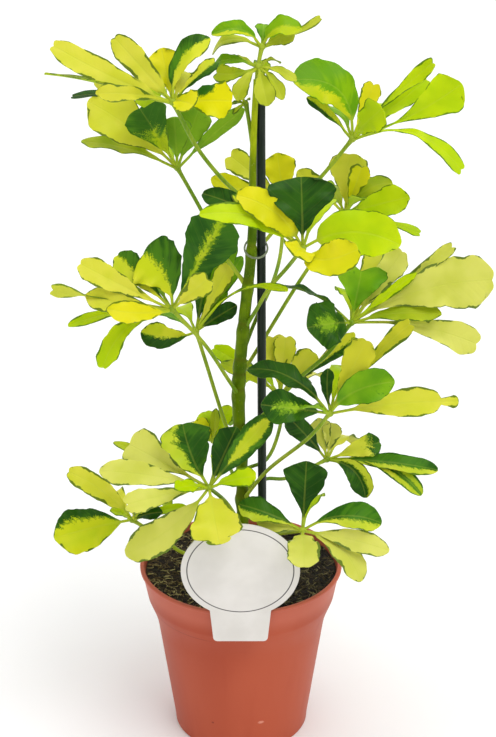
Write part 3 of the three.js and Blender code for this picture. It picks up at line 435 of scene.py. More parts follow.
# How each kind of leaflet is coloured: its light, its second light, its dark and its second dark
# colour, how wide its thin green margin runs, and how its dark part lies.
LEAF_KINDS = {
    "cream": [(222, 220, 72), (211, 214, 54), (66, 104, 20), (104, 146, 26), 0.9, "none"],
    "pale": [(217, 218, 102), (204, 208, 82), (70, 104, 34), (112, 146, 44), 0.9, "none"],
    "yellow": [(226, 220, 28), (213, 213, 16), (64, 106, 16), (100, 150, 20), 0.7, "none"],
    "lime": [(200, 222, 8), (180, 210, 4), (72, 116, 12), (108, 158, 16), 0.55, "none"],
    "olive": [(182, 196, 34), (154, 178, 24), (70, 104, 20), (104, 140, 30), 0.7, "none"],
    "green": [(134, 182, 22), (100, 156, 16), (52, 104, 14), (88, 144, 20), 0.4, "drift"],
    "dark": [(96, 148, 20), (72, 124, 16), (30, 72, 10), (48, 94, 16), 0.3, "all"],
    "half": [(222, 222, 56), (202, 214, 28), (40, 86, 16), (76, 126, 22), 0.8, "right"],
    "half_left": [(218, 220, 52), (196, 210, 26), (40, 86, 14), (80, 134, 20), 0.8, "left"],
    "edged": [(216, 218, 58), (188, 204, 32), (44, 90, 18), (80, 130, 26), 0.9, "edges"],
    "spot": [(228, 222, 10), (214, 214, 4), (46, 106, 16), (72, 130, 22), 0.9, "spot"],
    "heart": [(172, 204, 44), (132, 174, 32), (32, 76, 12), (56, 104, 18), 0.3, "heart"],
    "vein": [(210, 220, 44), (164, 198, 26), (46, 96, 26), (68, 120, 32), 0.4, "rib"],
    "stripe": [(216, 220, 60), (176, 196, 34), (54, 100, 22), (92, 140, 30), 0.7, "stripes"],
    "green_half": [(200, 208, 20), (180, 200, 12), (106, 162, 4), (140, 186, 6), 0.4, "mostly_right"],
    "green_half_left": [(200, 208, 20), (180, 200, 12), (106, 158, 6), (134, 180, 10), 0.4, "left"],
    "dark_half": [(208, 216, 60), (184, 204, 44), (38, 84, 14), (62, 112, 20), 0.5, "mostly_right"],
    "dark_half_left": [(214, 218, 66), (190, 206, 46), (42, 96, 10), (72, 128, 16), 0.5, "mostly_left"],
    "tender": [(198, 206, 58), (176, 190, 36), (96, 120, 30), (140, 160, 40), 0.4, "none"],
    "gold": [(208, 206, 50), (188, 192, 40), (60, 104, 22), (96, 138, 32), 0.8, "none"],
    "strip": [(208, 214, 30), (190, 208, 22), (40, 86, 14), (72, 122, 22), 0.9, "strip"],
    "lime_end": [(192, 206, 30), (174, 198, 26), (58, 108, 22), (88, 140, 30), 0.4, "end"],
    "green_tip": [(218, 220, 70), (204, 214, 50), (44, 92, 18), (74, 128, 26), 0.8, "tip"],
}
STALK_LIGHT = (176, 194, 48)
STALK_GREEN = (104, 144, 10)
VEIN_COLOUR = (206, 218, 84)
UNDERSIDE_COLOUR = (150, 180, 56)
VEIN_SLANT = 0.8
VEIN_SPACING = 5.2


def away_from(along, across, middle_along, middle_across):
    """Distance from a place on the blade, with its length counted one and a half times."""
    return (((along - middle_along) * 1.5) ** 2 + (across - middle_across) ** 2).root()


# Where each pattern's dark part lies: its value is above 0 there. Along runs from 0 to 1, across
# from -1 to 1, and rim is the distance from the blade's edge in millimetres.
DARK_FIELDS = {
    "none": lambda along, across, rim: -1,
    "all": lambda along, across, rim: along * 0.2 + 0.35,
    "drift": lambda along, across, rim: along * 0.25 - 0.42,
    "right": lambda along, across, rim: across - 0.08,
    "left": lambda along, across, rim: across * -1 - 0.08,
    "mostly_right": lambda along, across, rim: across + 0.35,
    "mostly_left": lambda along, across, rim: across * -1 + 0.3,
    "strip": lambda along, across, rim: across - 0.55,
    "end": lambda along, across, rim: along - 0.5,
    "tip": lambda along, across, rim: (along - 0.74) * 1.6,
    "edges": lambda along, across, rim: (3.3 - rim) * 0.22,
    "rib": lambda along, across, rim: abs(across) - 0.16,
    "stripes": lambda along, across, rim: ((across + 0.2) * 6).sine() * 0.35,
    "heart": lambda along, across, rim: (away_from(along, across, 0.55, 0) - 0.34) * 0.9,
    "spot": lambda along, across, rim: (0.36 - away_from(along, across, 0.42, -0.75)) * 1.5,
}


def leaf_material(kind):
    """A glossy variegated blade: light and dark parts that meet in jagged steps along the side
    veins, flecks between them, a broken green margin, a paler midrib and a duller underside."""
    light, light_two, dark, dark_two, margin, pattern = LEAF_KINDS[kind]
    shader = Shader("leaf_" + kind)
    along, across, under = shader.split(shader.attribute("leaf_share"))
    place = shader.attribute("leaf_place")
    reach, offset, seed = shader.split(place)
    rim = shader.attribute("leaf_rim", "Fac")
    side = abs(offset)
    vein_run = reach - side * VEIN_SLANT
    feather = shader.join(vein_run * 0.42, side * 0.07, seed + offset.sign() * 2.3)
    jag = shader.noise(feather, 1, 3, 0.6) - 0.5
    broad = shader.noise(place, 0.055)
    mottle = shader.noise(place, 0.55, 3, 0.65)
    fine = shader.noise(place, 1.6, 2, 0.6)
    pale = shader.blend(shader.ramped(broad, 0.35, 0.65), light, light_two)
    deep = shader.blend(shader.ramped(broad + jag * 0.5, 0.4, 0.62), dark, dark_two)
    field = DARK_FIELDS[pattern](along, across, rim) + jag * 0.75
    flecked = shader.ramped(field + (mottle - 0.5) * 0.9, -0.09, -0.03)
    inner = shader.ramped(field + (fine - 0.5) * 0.5, 0.02, 0.08)
    edge_width = (shader.noise(place, 0.11, 3, 0.6) - 0.43) * (8 * margin)
    edge = shader.ramped(rim - edge_width, 0.25, -0.05) * shader.ramped(along, 0.12, 0.25)
    rib = shader.ramped(side - (0.5 - along * 0.35), 0.3, 0)
    vein_wave = (vein_run * (2 * math.pi / VEIN_SPACING)).sine()
    colour = shader.layered(
        pale, (flecked, shader.blend(0.5, dark_two, light_two)), (inner, deep), (edge * 0.85, dark),
        (rib * 0.12, VEIN_COLOUR), (shader.ramped(vein_wave, 0.93, 1) * 0.03, VEIN_COLOUR),
        (shader.ramped(along, 0.1, 0) * 0.8, STALK_LIGHT), (under * 0.3, UNDERSIDE_COLOUR))

    shader.set("Subsurface Weight", 0.3)
    shader.set("Subsurface Radius", (1, 1, 0.3))
    shader.set("Subsurface Scale", 0.8 * MM)
    relief = rib * -0.35 - shader.ramped(vein_wave, 0.2, 1) * 0.1 + broad * 1.2 + mottle * 0.15
    shader.bump(relief, 0.35, 0.6)
    return shader.finished(colour, 0.3 + mottle * 0.14 + under * 0.22, 0.11)


def stalk_material():
    """Smooth green leaf stalks, yellower towards the light, with faint lengthwise streaks."""
    shader = Shader("leaf_stalk")
    place = shader.position()
    broad = shader.noise(place, 0.03)
    streaks = shader.noise(shader.scaled(place, (1.3, 1.3, 0.12)), 1, 3, 0.6)
    colour = shader.blend(shader.ramped(broad + streaks * 0.35, 0.5, 0.85), STALK_GREEN, STALK_LIGHT)
    shader.bump(streaks, 0.25, 0.6)
    return shader.finished(colour, 0.3 + streaks * 0.2, 0.25)


def in_scene(name, data):
    """Makes an object of the data and puts it in the scene."""
    made = bpy.data.objects.new(name, data)
    bpy.context.scene.collection.objects.link(made)
    return made


class Builder:
    """Collects the points, faces and surface values of one piece."""

    def __init__(self):
        self.points, self.faces, self.slots = [], [], []
        self.values = {}
        self.count = 0

    def add(self, points, faces, slot=0, **values):
        points = np.asarray(points, float).reshape(-1, 3)
        start = self.count
        self.points.append(points)
        self.faces.extend(tuple(start + corner for corner in face) for face in faces)
        self.slots.extend([slot] * len(faces))
        for name, value in values.items():
            self.values.setdefault(name, []).append((start, np.asarray(value, float)))
        self.count += len(points)

    def piece(self, name, materials, sharp=35):
        """Makes the mesh object, smooth but for edges sharper than the given degrees."""
        mesh = bpy.data.meshes.new(name)
        mesh.from_pydata((np.concatenate(self.points) * MM).tolist(), [], self.faces)
        for material in materials:
            mesh.materials.append(material)
        mesh.polygons.foreach_set("material_index", self.slots)
        for label, parts in self.values.items():
            wide = parts[0][1].ndim > 1
            data = np.zeros((self.count, 3) if wide else self.count, np.float32)
            for start, value in parts:
                data[start:start + len(value)] = value
            layer = mesh.attributes.new(label, "FLOAT_VECTOR" if wide else "FLOAT", "POINT")
            layer.data.foreach_set("vector" if wide else "value", data.ravel())
        mesh.shade_smooth()
        mesh.set_sharp_from_angle(angle=math.radians(sharp))
        mesh.validate()
        mesh.update()
        return in_scene(name, mesh)


def ring_faces(rings, count, first_cap=True, last_cap=True):
    """Faces that join rings of points, each ring turning about the direction of travel."""
    faces = []
    last = (rings - 1) * count
    for start in range(0, last, count):
        for corner in range(count):
            a, b = start + corner, start + (corner + 1) % count
            faces.append((a, b, b + count, a + count))
    if first_cap:
        faces.append(tuple(reversed(range(count))))
    if last_cap:
        faces.append(tuple(range(last, last + count)))
    return faces


def blade_caps(rings, count):
    """Strips that close the first and last ring of a blade, from its top to its underside."""
    last = (rings - 1) * count
    faces = []
    for lane in range(count // 2 - 1):
        opposite = count - 1 - lane
        faces.append((lane + 1, lane, opposite, opposite - 1))
        faces.append((last + lane, last + lane + 1, last + opposite - 1, last + opposite))
    return faces


def past(share, start):
    """How far the share is past the start: 0 up to there and 1 at the far end."""
    return np.maximum(0, (share - start) / (1 - start))


def leaflet(builder, hub, row, seed, slot):
    """Adds one leaflet: a round stalk that widens into a thin waved blade with a folded middle.

    Values along the blade are columns and values across it are rows, so together they make a grid.
    """
    right, back, up, arch, width, lean, _, tip, *rest = row
    curl, bend, side, twist = [*rest, 0, 0, 0, 0][:4]
    base_power, tip_power, closed, notch, flare = [*TIP_FORMS[tip], 0][:5]
    chord = np.array([right, back, up], float)
    length = np.linalg.norm(chord)
    direction = chord / length
    lean, side = math.radians(lean), math.radians(side)
    face = np.array([math.sin(side), -math.cos(side) * math.sin(lean), math.cos(side) * math.cos(lean)])
    rise = unit(face - face.dot(direction) * direction)
    beside_rise = np.cross(direction, rise)

    def midrib(share):
        bow = 4 * share * (1 - share)
        lifted = bow * arch + curl * past(share, CURL_START) ** 2
        return hub + share * chord + lifted * rise + bow * bend * beside_rise

    def outline(blade):
        body = blade ** base_power * np.sqrt(np.maximum(0, 1 - closed * blade ** tip_power))
        return body + flare * past(blade, FLARE_START)

    def ripple(turns, number):
        """A wave along the blade, with so many turns and a drawn start."""
        return np.sin(2 * np.pi * (turns * blade + draw(seed + number)))

    stalk = np.linspace(0, STALK_SHARE, STALK_STEPS, endpoint=False)
    even = np.linspace(0, 1, LEAFLET_STEPS)
    blade_part = STALK_SHARE + (1 - STALK_SHARE) * (1 - (1 - even) ** 1.35)
    stations = np.concatenate([stalk, blade_part])[:, None]
    blade = past(stations, STALK_SHARE)
    along = unit(midrib(stations + 0.01) - midrib(stations - 0.01))
    flat = unit(face - (along @ face)[:, None] * along)
    turn = math.radians(twist) * past(stations, TWIST_START)
    normal = flat * np.cos(turn) + np.cross(along, flat) * np.sin(turn)
    across = np.cross(along, normal)

    lanes = np.linspace(-1, 1, LEAFLET_LANES + 1)
    lanes = np.sign(lanes) * np.abs(lanes) ** 0.9
    edge = np.abs(lanes)
    body = np.sin(np.pi * np.minimum(blade, EDGE_CALM))
    ruffle = RUFFLE if tip in RUFFLED_TIPS else 1
    widest = outline(np.arange(0.05, 1, 0.05)).max()
    waves = 1.4 + 1.4 * draw(seed + 1)
    swing = width * (0.05 + 0.06 * draw(seed + 2))
    channel = width * (0.04 + 0.11 * draw(seed + 3))
    half, lift = np.zeros((2, len(stations), len(lanes)))
    for sign in (-1, 1):
        here = lanes * sign > 0
        wobble = (0.035 * ripple(2.3, 11 + sign) + 0.022 * ruffle * ripple(5.3, 14 + sign)
                  + 0.012 * ruffle * ripple(9.7, 17 + sign))
        half[:, here] = np.maximum(STALK_HALF_WIDTH, width / 2 * outline(blade) / widest * (1 + wobble))
        lift[:, here] = body * (channel * edge[here] ** 1.3
                                + swing * ripple(waves, 4 + sign) * edge[here] ** 2.2
                                + 0.014 * width * ripple(5.1, 20 + sign) * edge[here] ** 4)
    middle = len(lanes) // 2
    half[:, middle] = (half[:, middle - 1] + half[:, middle + 1]) / 2

    arc = np.sqrt(1 - lanes ** 2)
    end_half = width / 2 * outline(1.0) / widest
    cut_back = notch * length * (1 - edge) ** 1.5 + min(0.8 * end_half, 0.07 * length) * (1 - arc)
    setback = cut_back * blade ** 8
    groove = -GROOVE_DEPTH * np.exp(-(lanes * np.maximum(half, 1) / GROOVE_WIDTH) ** 2)
    groove = groove * np.minimum(1, blade * 6)
    stalky = np.clip(1 - blade / STALK_FADE, 0, 1)
    stalky = stalky * stalky * (3 - 2 * stalky)
    thick = RIB_THICKNESS + (EDGE_THICKNESS - RIB_THICKNESS) * edge ** 2
    over = stalky * STALK_HALF_WIDTH * (arc - 1) + (1 - stalky) * (lift + groove)
    below = stalky * STALK_HALF_WIDTH * (-arc - 1) + (1 - stalky) * (lift - thick + 0.5 * groove)
    beside = lanes * half
    centre, across, normal, along = (v[:, None] for v in (midrib(stations), across, normal, along))

    def sheet(heights):
        return (centre + beside[..., None] * across + heights[..., None] * normal
                - setback[..., None] * along)

    def around(*values):
        """The values at each point, over the top of the blade and back along its underside."""
        top = np.stack(np.broadcast_arrays(*values), -1)
        return np.concatenate([top, top[:, ::-1]], axis=1)

    points = np.concatenate([sheet(over), sheet(below)[:, ::-1]], axis=1)
    rings, count = points.shape[:2]
    place = around(blade * length * (1 - STALK_SHARE) - setback, beside, seed * 1.37)
    share = around(blade, lanes, 0)
    share[:, len(lanes):, 2] = 1
    rim = around(np.minimum((1 - edge) * np.maximum(half, 0.1), (1.02 - blade) * length * 0.8))
    faces = ring_faces(rings, count, False, False) + blade_caps(rings, count)
    builder.add(points, faces, slot, leaf_place=place.reshape(-1, 3), leaf_share=share.reshape(-1, 3),
                leaf_rim=rim.ravel())


def curve_point(stops, share):
    """A centripetal Catmull-Rom curve through the stops, as three.js draws it."""
    last = len(stops) - 1
    run = last * share
    first = min(int(math.floor(run)), last - 1)
    weight = run - first
    p1, p2 = stops[first], stops[first + 1]
    p0 = stops[first - 1] if first > 0 else 2 * p1 - p2
    p3 = stops[first + 2] if first + 2 <= last else 2 * p2 - p1
    gaps = [max(np.linalg.norm(b - a) ** 0.5, 1e-4) for a, b in ((p0, p1), (p1, p2), (p2, p3))]
    leave = (p1 - p0) / gaps[0] - (p2 - p0) / (gaps[0] + gaps[1]) + (p2 - p1) / gaps[1]
    arrive = (p2 - p1) / gaps[1] - (p3 - p1) / (gaps[1] + gaps[2]) + (p3 - p2) / gaps[2]
    leave, arrive = leave * gaps[1], arrive * gaps[1]
    square = 3 * (p2 - p1) - 2 * leave - arrive
    cube = 2 * (p1 - p2) + leave + arrive
    return p1 + weight * leave + weight ** 2 * square + weight ** 3 * cube


def tube(builder, centres, radii, sides, slot=0, **values):
    """Adds a round rod along the given centres; each value is one number or row for each ring."""
    centres = np.asarray(centres, float)
    tangents = unit(np.gradient(centres, axis=0))
    side = unit(np.cross(np.array([1.0, 0, 0.3]), tangents[0]))
    angles = np.linspace(0, 2 * np.pi, sides, endpoint=False)
    rings = []
    for centre, tangent, radius in zip(centres, tangents, radii):
        side = unit(side - side.dot(tangent) * tangent)
        other = np.cross(tangent, side)
        rings.append(centre + radius * (np.cos(angles)[:, None] * side + np.sin(angles)[:, None] * other))
    spread = {name: np.repeat(np.asarray(value, float), sides, axis=0) for name, value in values.items()}
    builder.add(np.concatenate(rings), ring_faces(len(rings), sides), slot, **spread)


def petiole(builder, start, places, hub, foot_radius):
    """Adds a leaf's stalk, which flares where it clasps the stem and again just under its hub."""
    start, hub = np.array(start, float), np.array(hub, float)
    middle = (start + hub) / 2 + np.array([0, 0, 0.05 * np.linalg.norm(hub - start)])
    stops = np.array([start, *(places or [middle]), hub], float)
    steps = max(6, int(sum(np.linalg.norm(b - a) for a, b in zip(stops, stops[1:])) / PETIOLE_STEP))
    centres = np.array([curve_point(stops, i / steps) for i in range(steps + 1)])
    flare = np.maximum(0, 1 - np.linalg.norm(centres - start, axis=1) / FOOT_LENGTH) ** 2
    neck = np.maximum(0, 1 - np.linalg.norm(centres - hub, axis=1) / NECK_LENGTH) ** 2
    radii = PETIOLE_RADIUS + (foot_radius - PETIOLE_RADIUS) * flare + 0.45 * neck
    tube(builder, centres, radii, PETIOLE_SIDES)


def knob(builder, centre, radius):
    """Adds the swollen place where the leaflets meet."""
    heights = np.linspace(-math.pi / 2, math.pi / 2, 9)[1:-1]
    centres = [np.add(centre, (0, 0, radius * 0.85 * math.sin(h))) for h in heights]
    tube(builder, centres, [radius * 0.9 * math.cos(h) for h in heights], KNOB_SIDES)


def stem_at(height):
    rows = np.array(STEM, float)
    return np.array([np.interp(height, rows[:, 2], rows[:, i]) for i in (0, 1)] + [height])


def build_leaves(materials, stalk):
    """Makes a piece for each compound leaf in place of its CAD node; the second whorl at the stem's
    tip belongs to the crown."""
    for number, (name, hub, height, places, *rows) in enumerate(LEAVES):
        if name == "leaf_tip":
            continue
        builder = Builder()
        parts = [(number, hub, stem_at(height), height, places, rows)]
        if name == "leaf_crown":
            _, tip_hub, _, tip_places, *tip_rows = LEAVES[1]
            parts.append((1, tip_hub, hub, CROWN_HEIGHT + 1, tip_places, tip_rows))
        used = sorted({row[COLOUR_COLUMN] for part in parts for row in part[-1]})
        for index, centre, start, at, via, leaflets in parts:
            foot = PETIOLE_RADIUS if at > CROWN_HEIGHT else PETIOLE_FOOT_RADIUS
            petiole(builder, start, via, centre, foot)
            knob(builder, centre, HUB_RADIUS if len(leaflets) > BUD_LEAFLETS else BUD_HUB_RADIUS)
            for i, row in enumerate(leaflets):
                slot = 1 + used.index(row[COLOUR_COLUMN])
                leaflet(builder, centre, row, index * 100 + i * 7, slot)
        piece = builder.piece(name + "_blades", [stalk] + [materials[kind] for kind in used])
        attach(piece, BODY)
        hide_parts(name)


def rounded(profile, radii, steps=5):
    """The profile with each listed corner, by its number, turned into a small smooth bend."""
    points = [np.array(p, float) for p in profile]
    out = []
    for i, point in enumerate(points):
        if i not in radii:
            out.append(point)
            continue
        before, after = points[i - 1] - point, points[i + 1] - point
        reach = min(radii[i], 0.48 * np.linalg.norm(before), 0.48 * np.linalg.norm(after))
        a, b = point + unit(before) * reach, point + unit(after) * reach
        for share in (step / steps for step in range(steps + 1)):
            out.append((1 - share) ** 2 * a + 2 * share * (1 - share) * point + share ** 2 * b)
    return out


def turned(rows, sides):
    """Rings of points about the pot's axis, one for each radius and height."""
    angles = np.linspace(0, 2 * np.pi, sides, endpoint=False)
    return [[r * math.cos(a), r * math.sin(a), z] for r, z in rows for a in angles]


def lathe(builder, profile, sides):
    """Adds a closed solid turned from a profile of radius and height with both ends on the axis."""
    points = turned(profile[1:-1], sides)
    count = len(points)
    last = count - sides
    points += [[0, 0, profile[0][1]], [0, 0, profile[-1][1]]]
    faces = ring_faces(len(profile) - 2, sides, False, False)
    for j in range(sides):
        k = (j + 1) % sides
        faces += [(count, k, j), (count + 1, last + j, last + k)]
    builder.add(points, faces)


def drilled(piece, cutter):
    """Takes the cutter's shape out of the piece and deletes the cutter."""
    cut = piece.modifiers.new("drain_holes", "BOOLEAN")
    cut.operation = "DIFFERENCE"
    cut.solver = "EXACT"
    cut.object = cutter
    graph = bpy.context.evaluated_depsgraph_get()
    mesh = bpy.data.meshes.new_from_object(piece.evaluated_get(graph))
    piece.modifiers.clear()
    old = piece.data
    piece.data = mesh
    bpy.data.meshes.remove(old)
    bpy.data.objects.remove(cutter)


def mark(shader, place, centre, size):
    """How much of a small rubbed mark shows: most inside it, fading and ragged at its edge."""
    away = shader.vector("SUBTRACT", place, centre)
    far = shader.vector("LENGTH", shader.scaled(away, [1 / s for s in size]), output="Value")
    return shader.ramped(far ** 2 + shader.noise(place, 0.9), 1.5, 0.7) * 0.7


def pot_material():
    """Satin moulded plastic the colour of terracotta, a little paler on its collar, with faint flow
    marks, specks, a short line of painted shade under the collar and two small marks of wear."""
    shader = Shader("pot_plastic")
    place = shader.position()
    across, _, height = shader.split(place)
    broad = shader.noise(shader.scaled(place, (1, 1, 0.6)), 0.012)
    flow = shader.noise(shader.scaled(place, (1, 1, 0.15)), 0.09, 3, 0.6)
    specks = shader.ramped(shader.noise(place, 0.7, 2, 0.7), 0.72, 0.78)
    # A thin dark line of painted shade just under the collar's step, on the left side only
    step_shade = shader.ramped(abs(height - STEP_SHADE_HEIGHT), 0.5, 0.15) * shader.ramped(across, -12, -24)
    colour = shader.layered(
        (173, 73, 46), (shader.ramped(broad, 0.35, 0.65), (187, 87, 58)),
        (shader.ramped(flow, 0.5, 0.8) * 0.18, (164, 66, 44)), (specks * 0.25, (140, 66, 46)),
        (shader.ramped(height, 88, 98) * 0.3, (226, 134, 112)), (step_shade * 0.4, (120, 48, 32)),
        (mark(shader, place, *PALE_RUB), (232, 160, 136)),
        (mark(shader, place, *DARK_SPECK), (110, 46, 34)))
    shader.bump(shader.noise(place, 2.2) * 0.3 + flow, 0.12, 0.5)
    return shader.finished(colour, 0.36 + flow * 0.16, 0.2)


def build_pot(material):
    lip_foot = POT_HEIGHT - LIP_HEIGHT
    shoulder = COLLAR_FOOT - SHOULDER_HEIGHT
    profile = [
        (0, 0), (BASE_RADIUS - CORNER_RADIUS, 0), (BASE_RADIUS, 0), (BASE_RADIUS, CORNER_RADIUS),
        (WALL_TOP_RADIUS, shoulder), (COLLAR_FOOT_RADIUS, COLLAR_FOOT),
        (COLLAR_TOP_RADIUS, lip_foot - LIP_UNDERSIDE), (LIP_RADIUS, lip_foot), (LIP_RADIUS, POT_HEIGHT),
        (COLLAR_FOOT_RADIUS - WALL + COLLAR_SLOPE * COLLAR_DEPTH, POT_HEIGHT),
        (COLLAR_FOOT_RADIUS - WALL, COLLAR_FOOT), (WALL_TOP_RADIUS - WALL, shoulder),
        (BASE_RADIUS - WALL, CORNER_RADIUS + 1), (BASE_RADIUS - CORNER_RADIUS, FLOOR), (0, FLOOR),
    ]
    bends = {2: 3, 4: 6, 5: 0.9, 6: 0.4, 7: 0.5, 8: 0.8, 9: 0.7, 10: 3, 11: 6, 12: 4, 13: 3}
    builder = Builder()
    lathe(builder, rounded(profile, bends), POT_SIDES)
    piece = builder.piece("pot_shell", [material], 50)
    drill = Builder()
    for i in range(DRAIN_HOLES):
        angle = 2 * math.pi * i / DRAIN_HOLES
        x, y = DRAIN_CIRCLE * math.cos(angle), DRAIN_CIRCLE * math.sin(angle)
        tube(drill, [(x, y, -FLOOR), (x, y, 2 * FLOOR)], [DRAIN_RADIUS] * 2, DRAIN_SIDES)
    drilled(piece, drill.piece("drain_drill", []))
    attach(piece, BODY)
    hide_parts("pot")


def soil_height(x, y):
    """The uneven top of the potting mix."""
    broad = noise.noise(Vector((x / 16, y / 16, 3.1)))
    lumps = noise.noise(Vector((x / 4.5, y / 4.5, 8.2)))
    crumbs = noise.noise(Vector((x / 1.7, y / 1.7, 5.5)))
    return SOIL_LEVEL + 0.9 * broad + 0.8 * lumps + 0.45 * crumbs


def right_side_shade(shader, place):
    """How much painted shade darkens the mix: more towards its right side."""
    across, _, _ = shader.split(place)
    return shader.ramped(across, SHADE_START, SHADE_END) * SHADE_DARKNESS


def soil_material():
    """Dark potting mix: near-black between crumbs, partly its own colour and partly painted shade,
    brown on top of them, with painted shade darkening its right side.
    """
    shader = Shader("potting_mix")
    place = shader.position()
    crumbs = shader.noise(place, 0.35, 5, 0.7)
    fine = shader.noise(place, 1.4, 4, 0.7)
    # The near-black low places between crumbs are partly the mix's own colour and partly painted shade
    colour = shader.layered(
        (14, 9, 4), (shader.ramped(crumbs, 0.36, 0.62), (62, 46, 28)),
        # The last layer is painted shade, darker towards the right side
        (shader.ramped(fine, 0.66, 0.72) * 0.6, (146, 122, 84)), (right_side_shade(shader, place), (9, 7, 4)))
    shader.bump(crumbs + fine * 0.4, 2, 0.9)
    return shader.finished(colour, 0.9)


def fibre_material():
    """Loose coir and bark fibres, from near-black to straw, a different shade for each one."""
    shader = Shader("potting_fibres")
    place = shader.position()
    grain = shader.noise(place, 1.2)
    mixed = shader.attribute("fibre_chance", "Fac") + (grain - 0.5) * 0.25
    colour = shader.layered(
        (28, 20, 9), (shader.ramped(mixed, 0.25, 0.7), (98, 80, 46)),
        # The last layer is painted shade, darker towards the right side
        (shader.ramped(mixed, 0.7, 0.95), (178, 166, 112)), (right_side_shade(shader, place), (22, 18, 10)))
    shader.bump(grain, 0.3, 0.6)
    return shader.finished(colour, 0.85)


def build_soil(mix, fibres):
    top_radius = COLLAR_FOOT_RADIUS - WALL - GAP + COLLAR_SLOPE * (SOIL_LEVEL - COLLAR_FOOT)
    rows = [(BASE_RADIUS - CORNER_RADIUS, FLOOR + GAP), (BASE_RADIUS - WALL - GAP, CORNER_RADIUS + 1),
            (WALL_TOP_RADIUS - WALL - GAP, COLLAR_FOOT - SHOULDER_HEIGHT),
            (COLLAR_FOOT_RADIUS - WALL - GAP, COLLAR_FOOT)]
    top = turned([(top_radius * (1 - i / SOIL_RINGS), 0) for i in range(SOIL_RINGS)], SOIL_SPOKES)
    points = turned(rows, SOIL_SPOKES) + [[x, y, soil_height(x, y)] for x, y, _ in top]
    builder = Builder()
    builder.add(points, ring_faces(len(rows) + SOIL_RINGS, SOIL_SPOKES))
    piece = builder.piece("soil_bed", [mix], 60)
    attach(piece, BODY)
    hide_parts("soil")

    chooser = random.Random(FIBRE_SEED)
    strands = Builder()
    for _ in range(FIBRES):
        radius = top_radius * math.sqrt(chooser.random()) * 0.97
        angle = chooser.uniform(0, 2 * math.pi)
        heading = chooser.uniform(0, 2 * math.pi)
        length = chooser.uniform(3, 11)
        bend = chooser.uniform(-1.6, 1.6)
        tilt = chooser.uniform(-0.3, 0.3)
        thick = chooser.uniform(0.18, 0.5)
        chance = chooser.random()
        centres = []
        for share in (-0.5, -0.25, 0, 0.25, 0.5):
            turn = heading + bend * share
            x = radius * math.cos(angle) + length * share * math.cos(turn)
            y = radius * math.sin(angle) + length * share * math.sin(turn)
            out = math.hypot(x, y)
            if out > top_radius - 0.5:
                x, y = x * (top_radius - 0.5) / out, y * (top_radius - 0.5) / out
            z = soil_height(x, y) + 0.15 + length * share * tilt + 0.5 * (0.25 - share * share)
            centres.append((x, y, z))
        radii = [thick * s for s in FIBRE_SHAPE]
        tube(strands, centres, radii, FIBRE_SIDES, fibre_chance=[chance] * len(radii))
    piece = strands.piece("soil_fibres", [fibres], 60)
    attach(piece, BODY)


def stem_material():
    """A green stem, yellower where it is young at the top and browner at its foot, with fine
    streaks, pale pores and brown leaf scars."""
    shader = Shader("stem_bark")
    place = shader.position()
    _, _, height = shader.split(place)
    streaks = shader.noise(shader.scaled(place, (1, 1, 0.1)), 1.1, 3, 0.6)
    patches = shader.noise(place, 0.09, 3, 0.6)
    pores = shader.ramped(shader.noise(shader.scaled(place, (1, 1, 0.6)), 1.3, 1), 0.71, 0.75)
    scar = shader.attribute("stem_scar", "Fac")
    patchy = shader.ramped(patches, 0.35, 0.65)
    young = shader.ramped(height, 312, 334) * 0.22 + shader.ramped(height, 344, 358) * 0.78
    colour = shader.layered(
        shader.blend(patchy, (78, 108, 2), (112, 140, 4)),
        (young, shader.blend(patchy, (166, 184, 8), (184, 198, 24))),
        (shader.ramped(height + patches * 30, 135, 100) * 0.6, (104, 96, 52)),
        (shader.ramped(streaks, 0.4, 0.8) * 0.3, (62, 88, 4)), (pores * 0.5, (176, 172, 104)),
        (scar * shader.ramped(patches, 0.1, 0.5) * 0.5, (92, 88, 24)))
    shader.bump(streaks + pores * 0.5, 0.35, 0.7)
    return shader.finished(colour, 0.36 + scar * 0.3, 0.08)


def build_stem(material):
    rows = np.array(STEM, float)
    heights = np.arange(rows[0, 2], rows[-1, 2] + 0.01, STEM_STEP)
    reach = np.linspace(-STEM_SMOOTHING, STEM_SMOOTHING, 9)
    x, y, radii = (np.mean([np.interp(heights + r, rows[:, 2], rows[:, i]) for r in reach], axis=0)
                   for i in (0, 1, 3))
    scar = np.zeros_like(heights)
    for _, _, at, *_ in LEAVES:
        if STEM[0][2] < at < CROWN_HEIGHT:
            above_scar = heights - at - SCAR_RISE
            radii += 0.45 * np.exp(-((heights - at + 1) / 3.2) ** 2)
            radii -= 0.25 * np.exp(-(above_scar / 0.9) ** 2)
            scar += np.exp(-(above_scar / 1.1) ** 2)
    builder = Builder()
    tube(builder, np.stack([x, y, heights], -1), radii, STEM_SIDES, stem_scar=np.minimum(1, scar))
    piece = builder.piece("stem_bark", [material])
    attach(piece, BODY)
    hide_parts("main_stem")


def stake_material():
    """A dark blue-green plastic sleeve with a soft sheen and fine lengthwise scuffs."""
    shader = Shader("stake_sleeve")
    place = shader.position()
    scuffs = shader.noise(shader.scaled(place, (1, 1, 0.05)), 1.2, 3, 0.6)
    colour = shader.layered(
        (12, 28, 16), (shader.ramped(shader.noise(place, 0.05), 0.35, 0.65), (22, 40, 26)),
        (shader.ramped(scuffs, 0.6, 0.8) * 0.3, (52, 68, 54)))
    shader.bump(scuffs, 0.15, 0.6)
    return shader.finished(colour, 0.25 + scuffs * 0.25, 0.3)


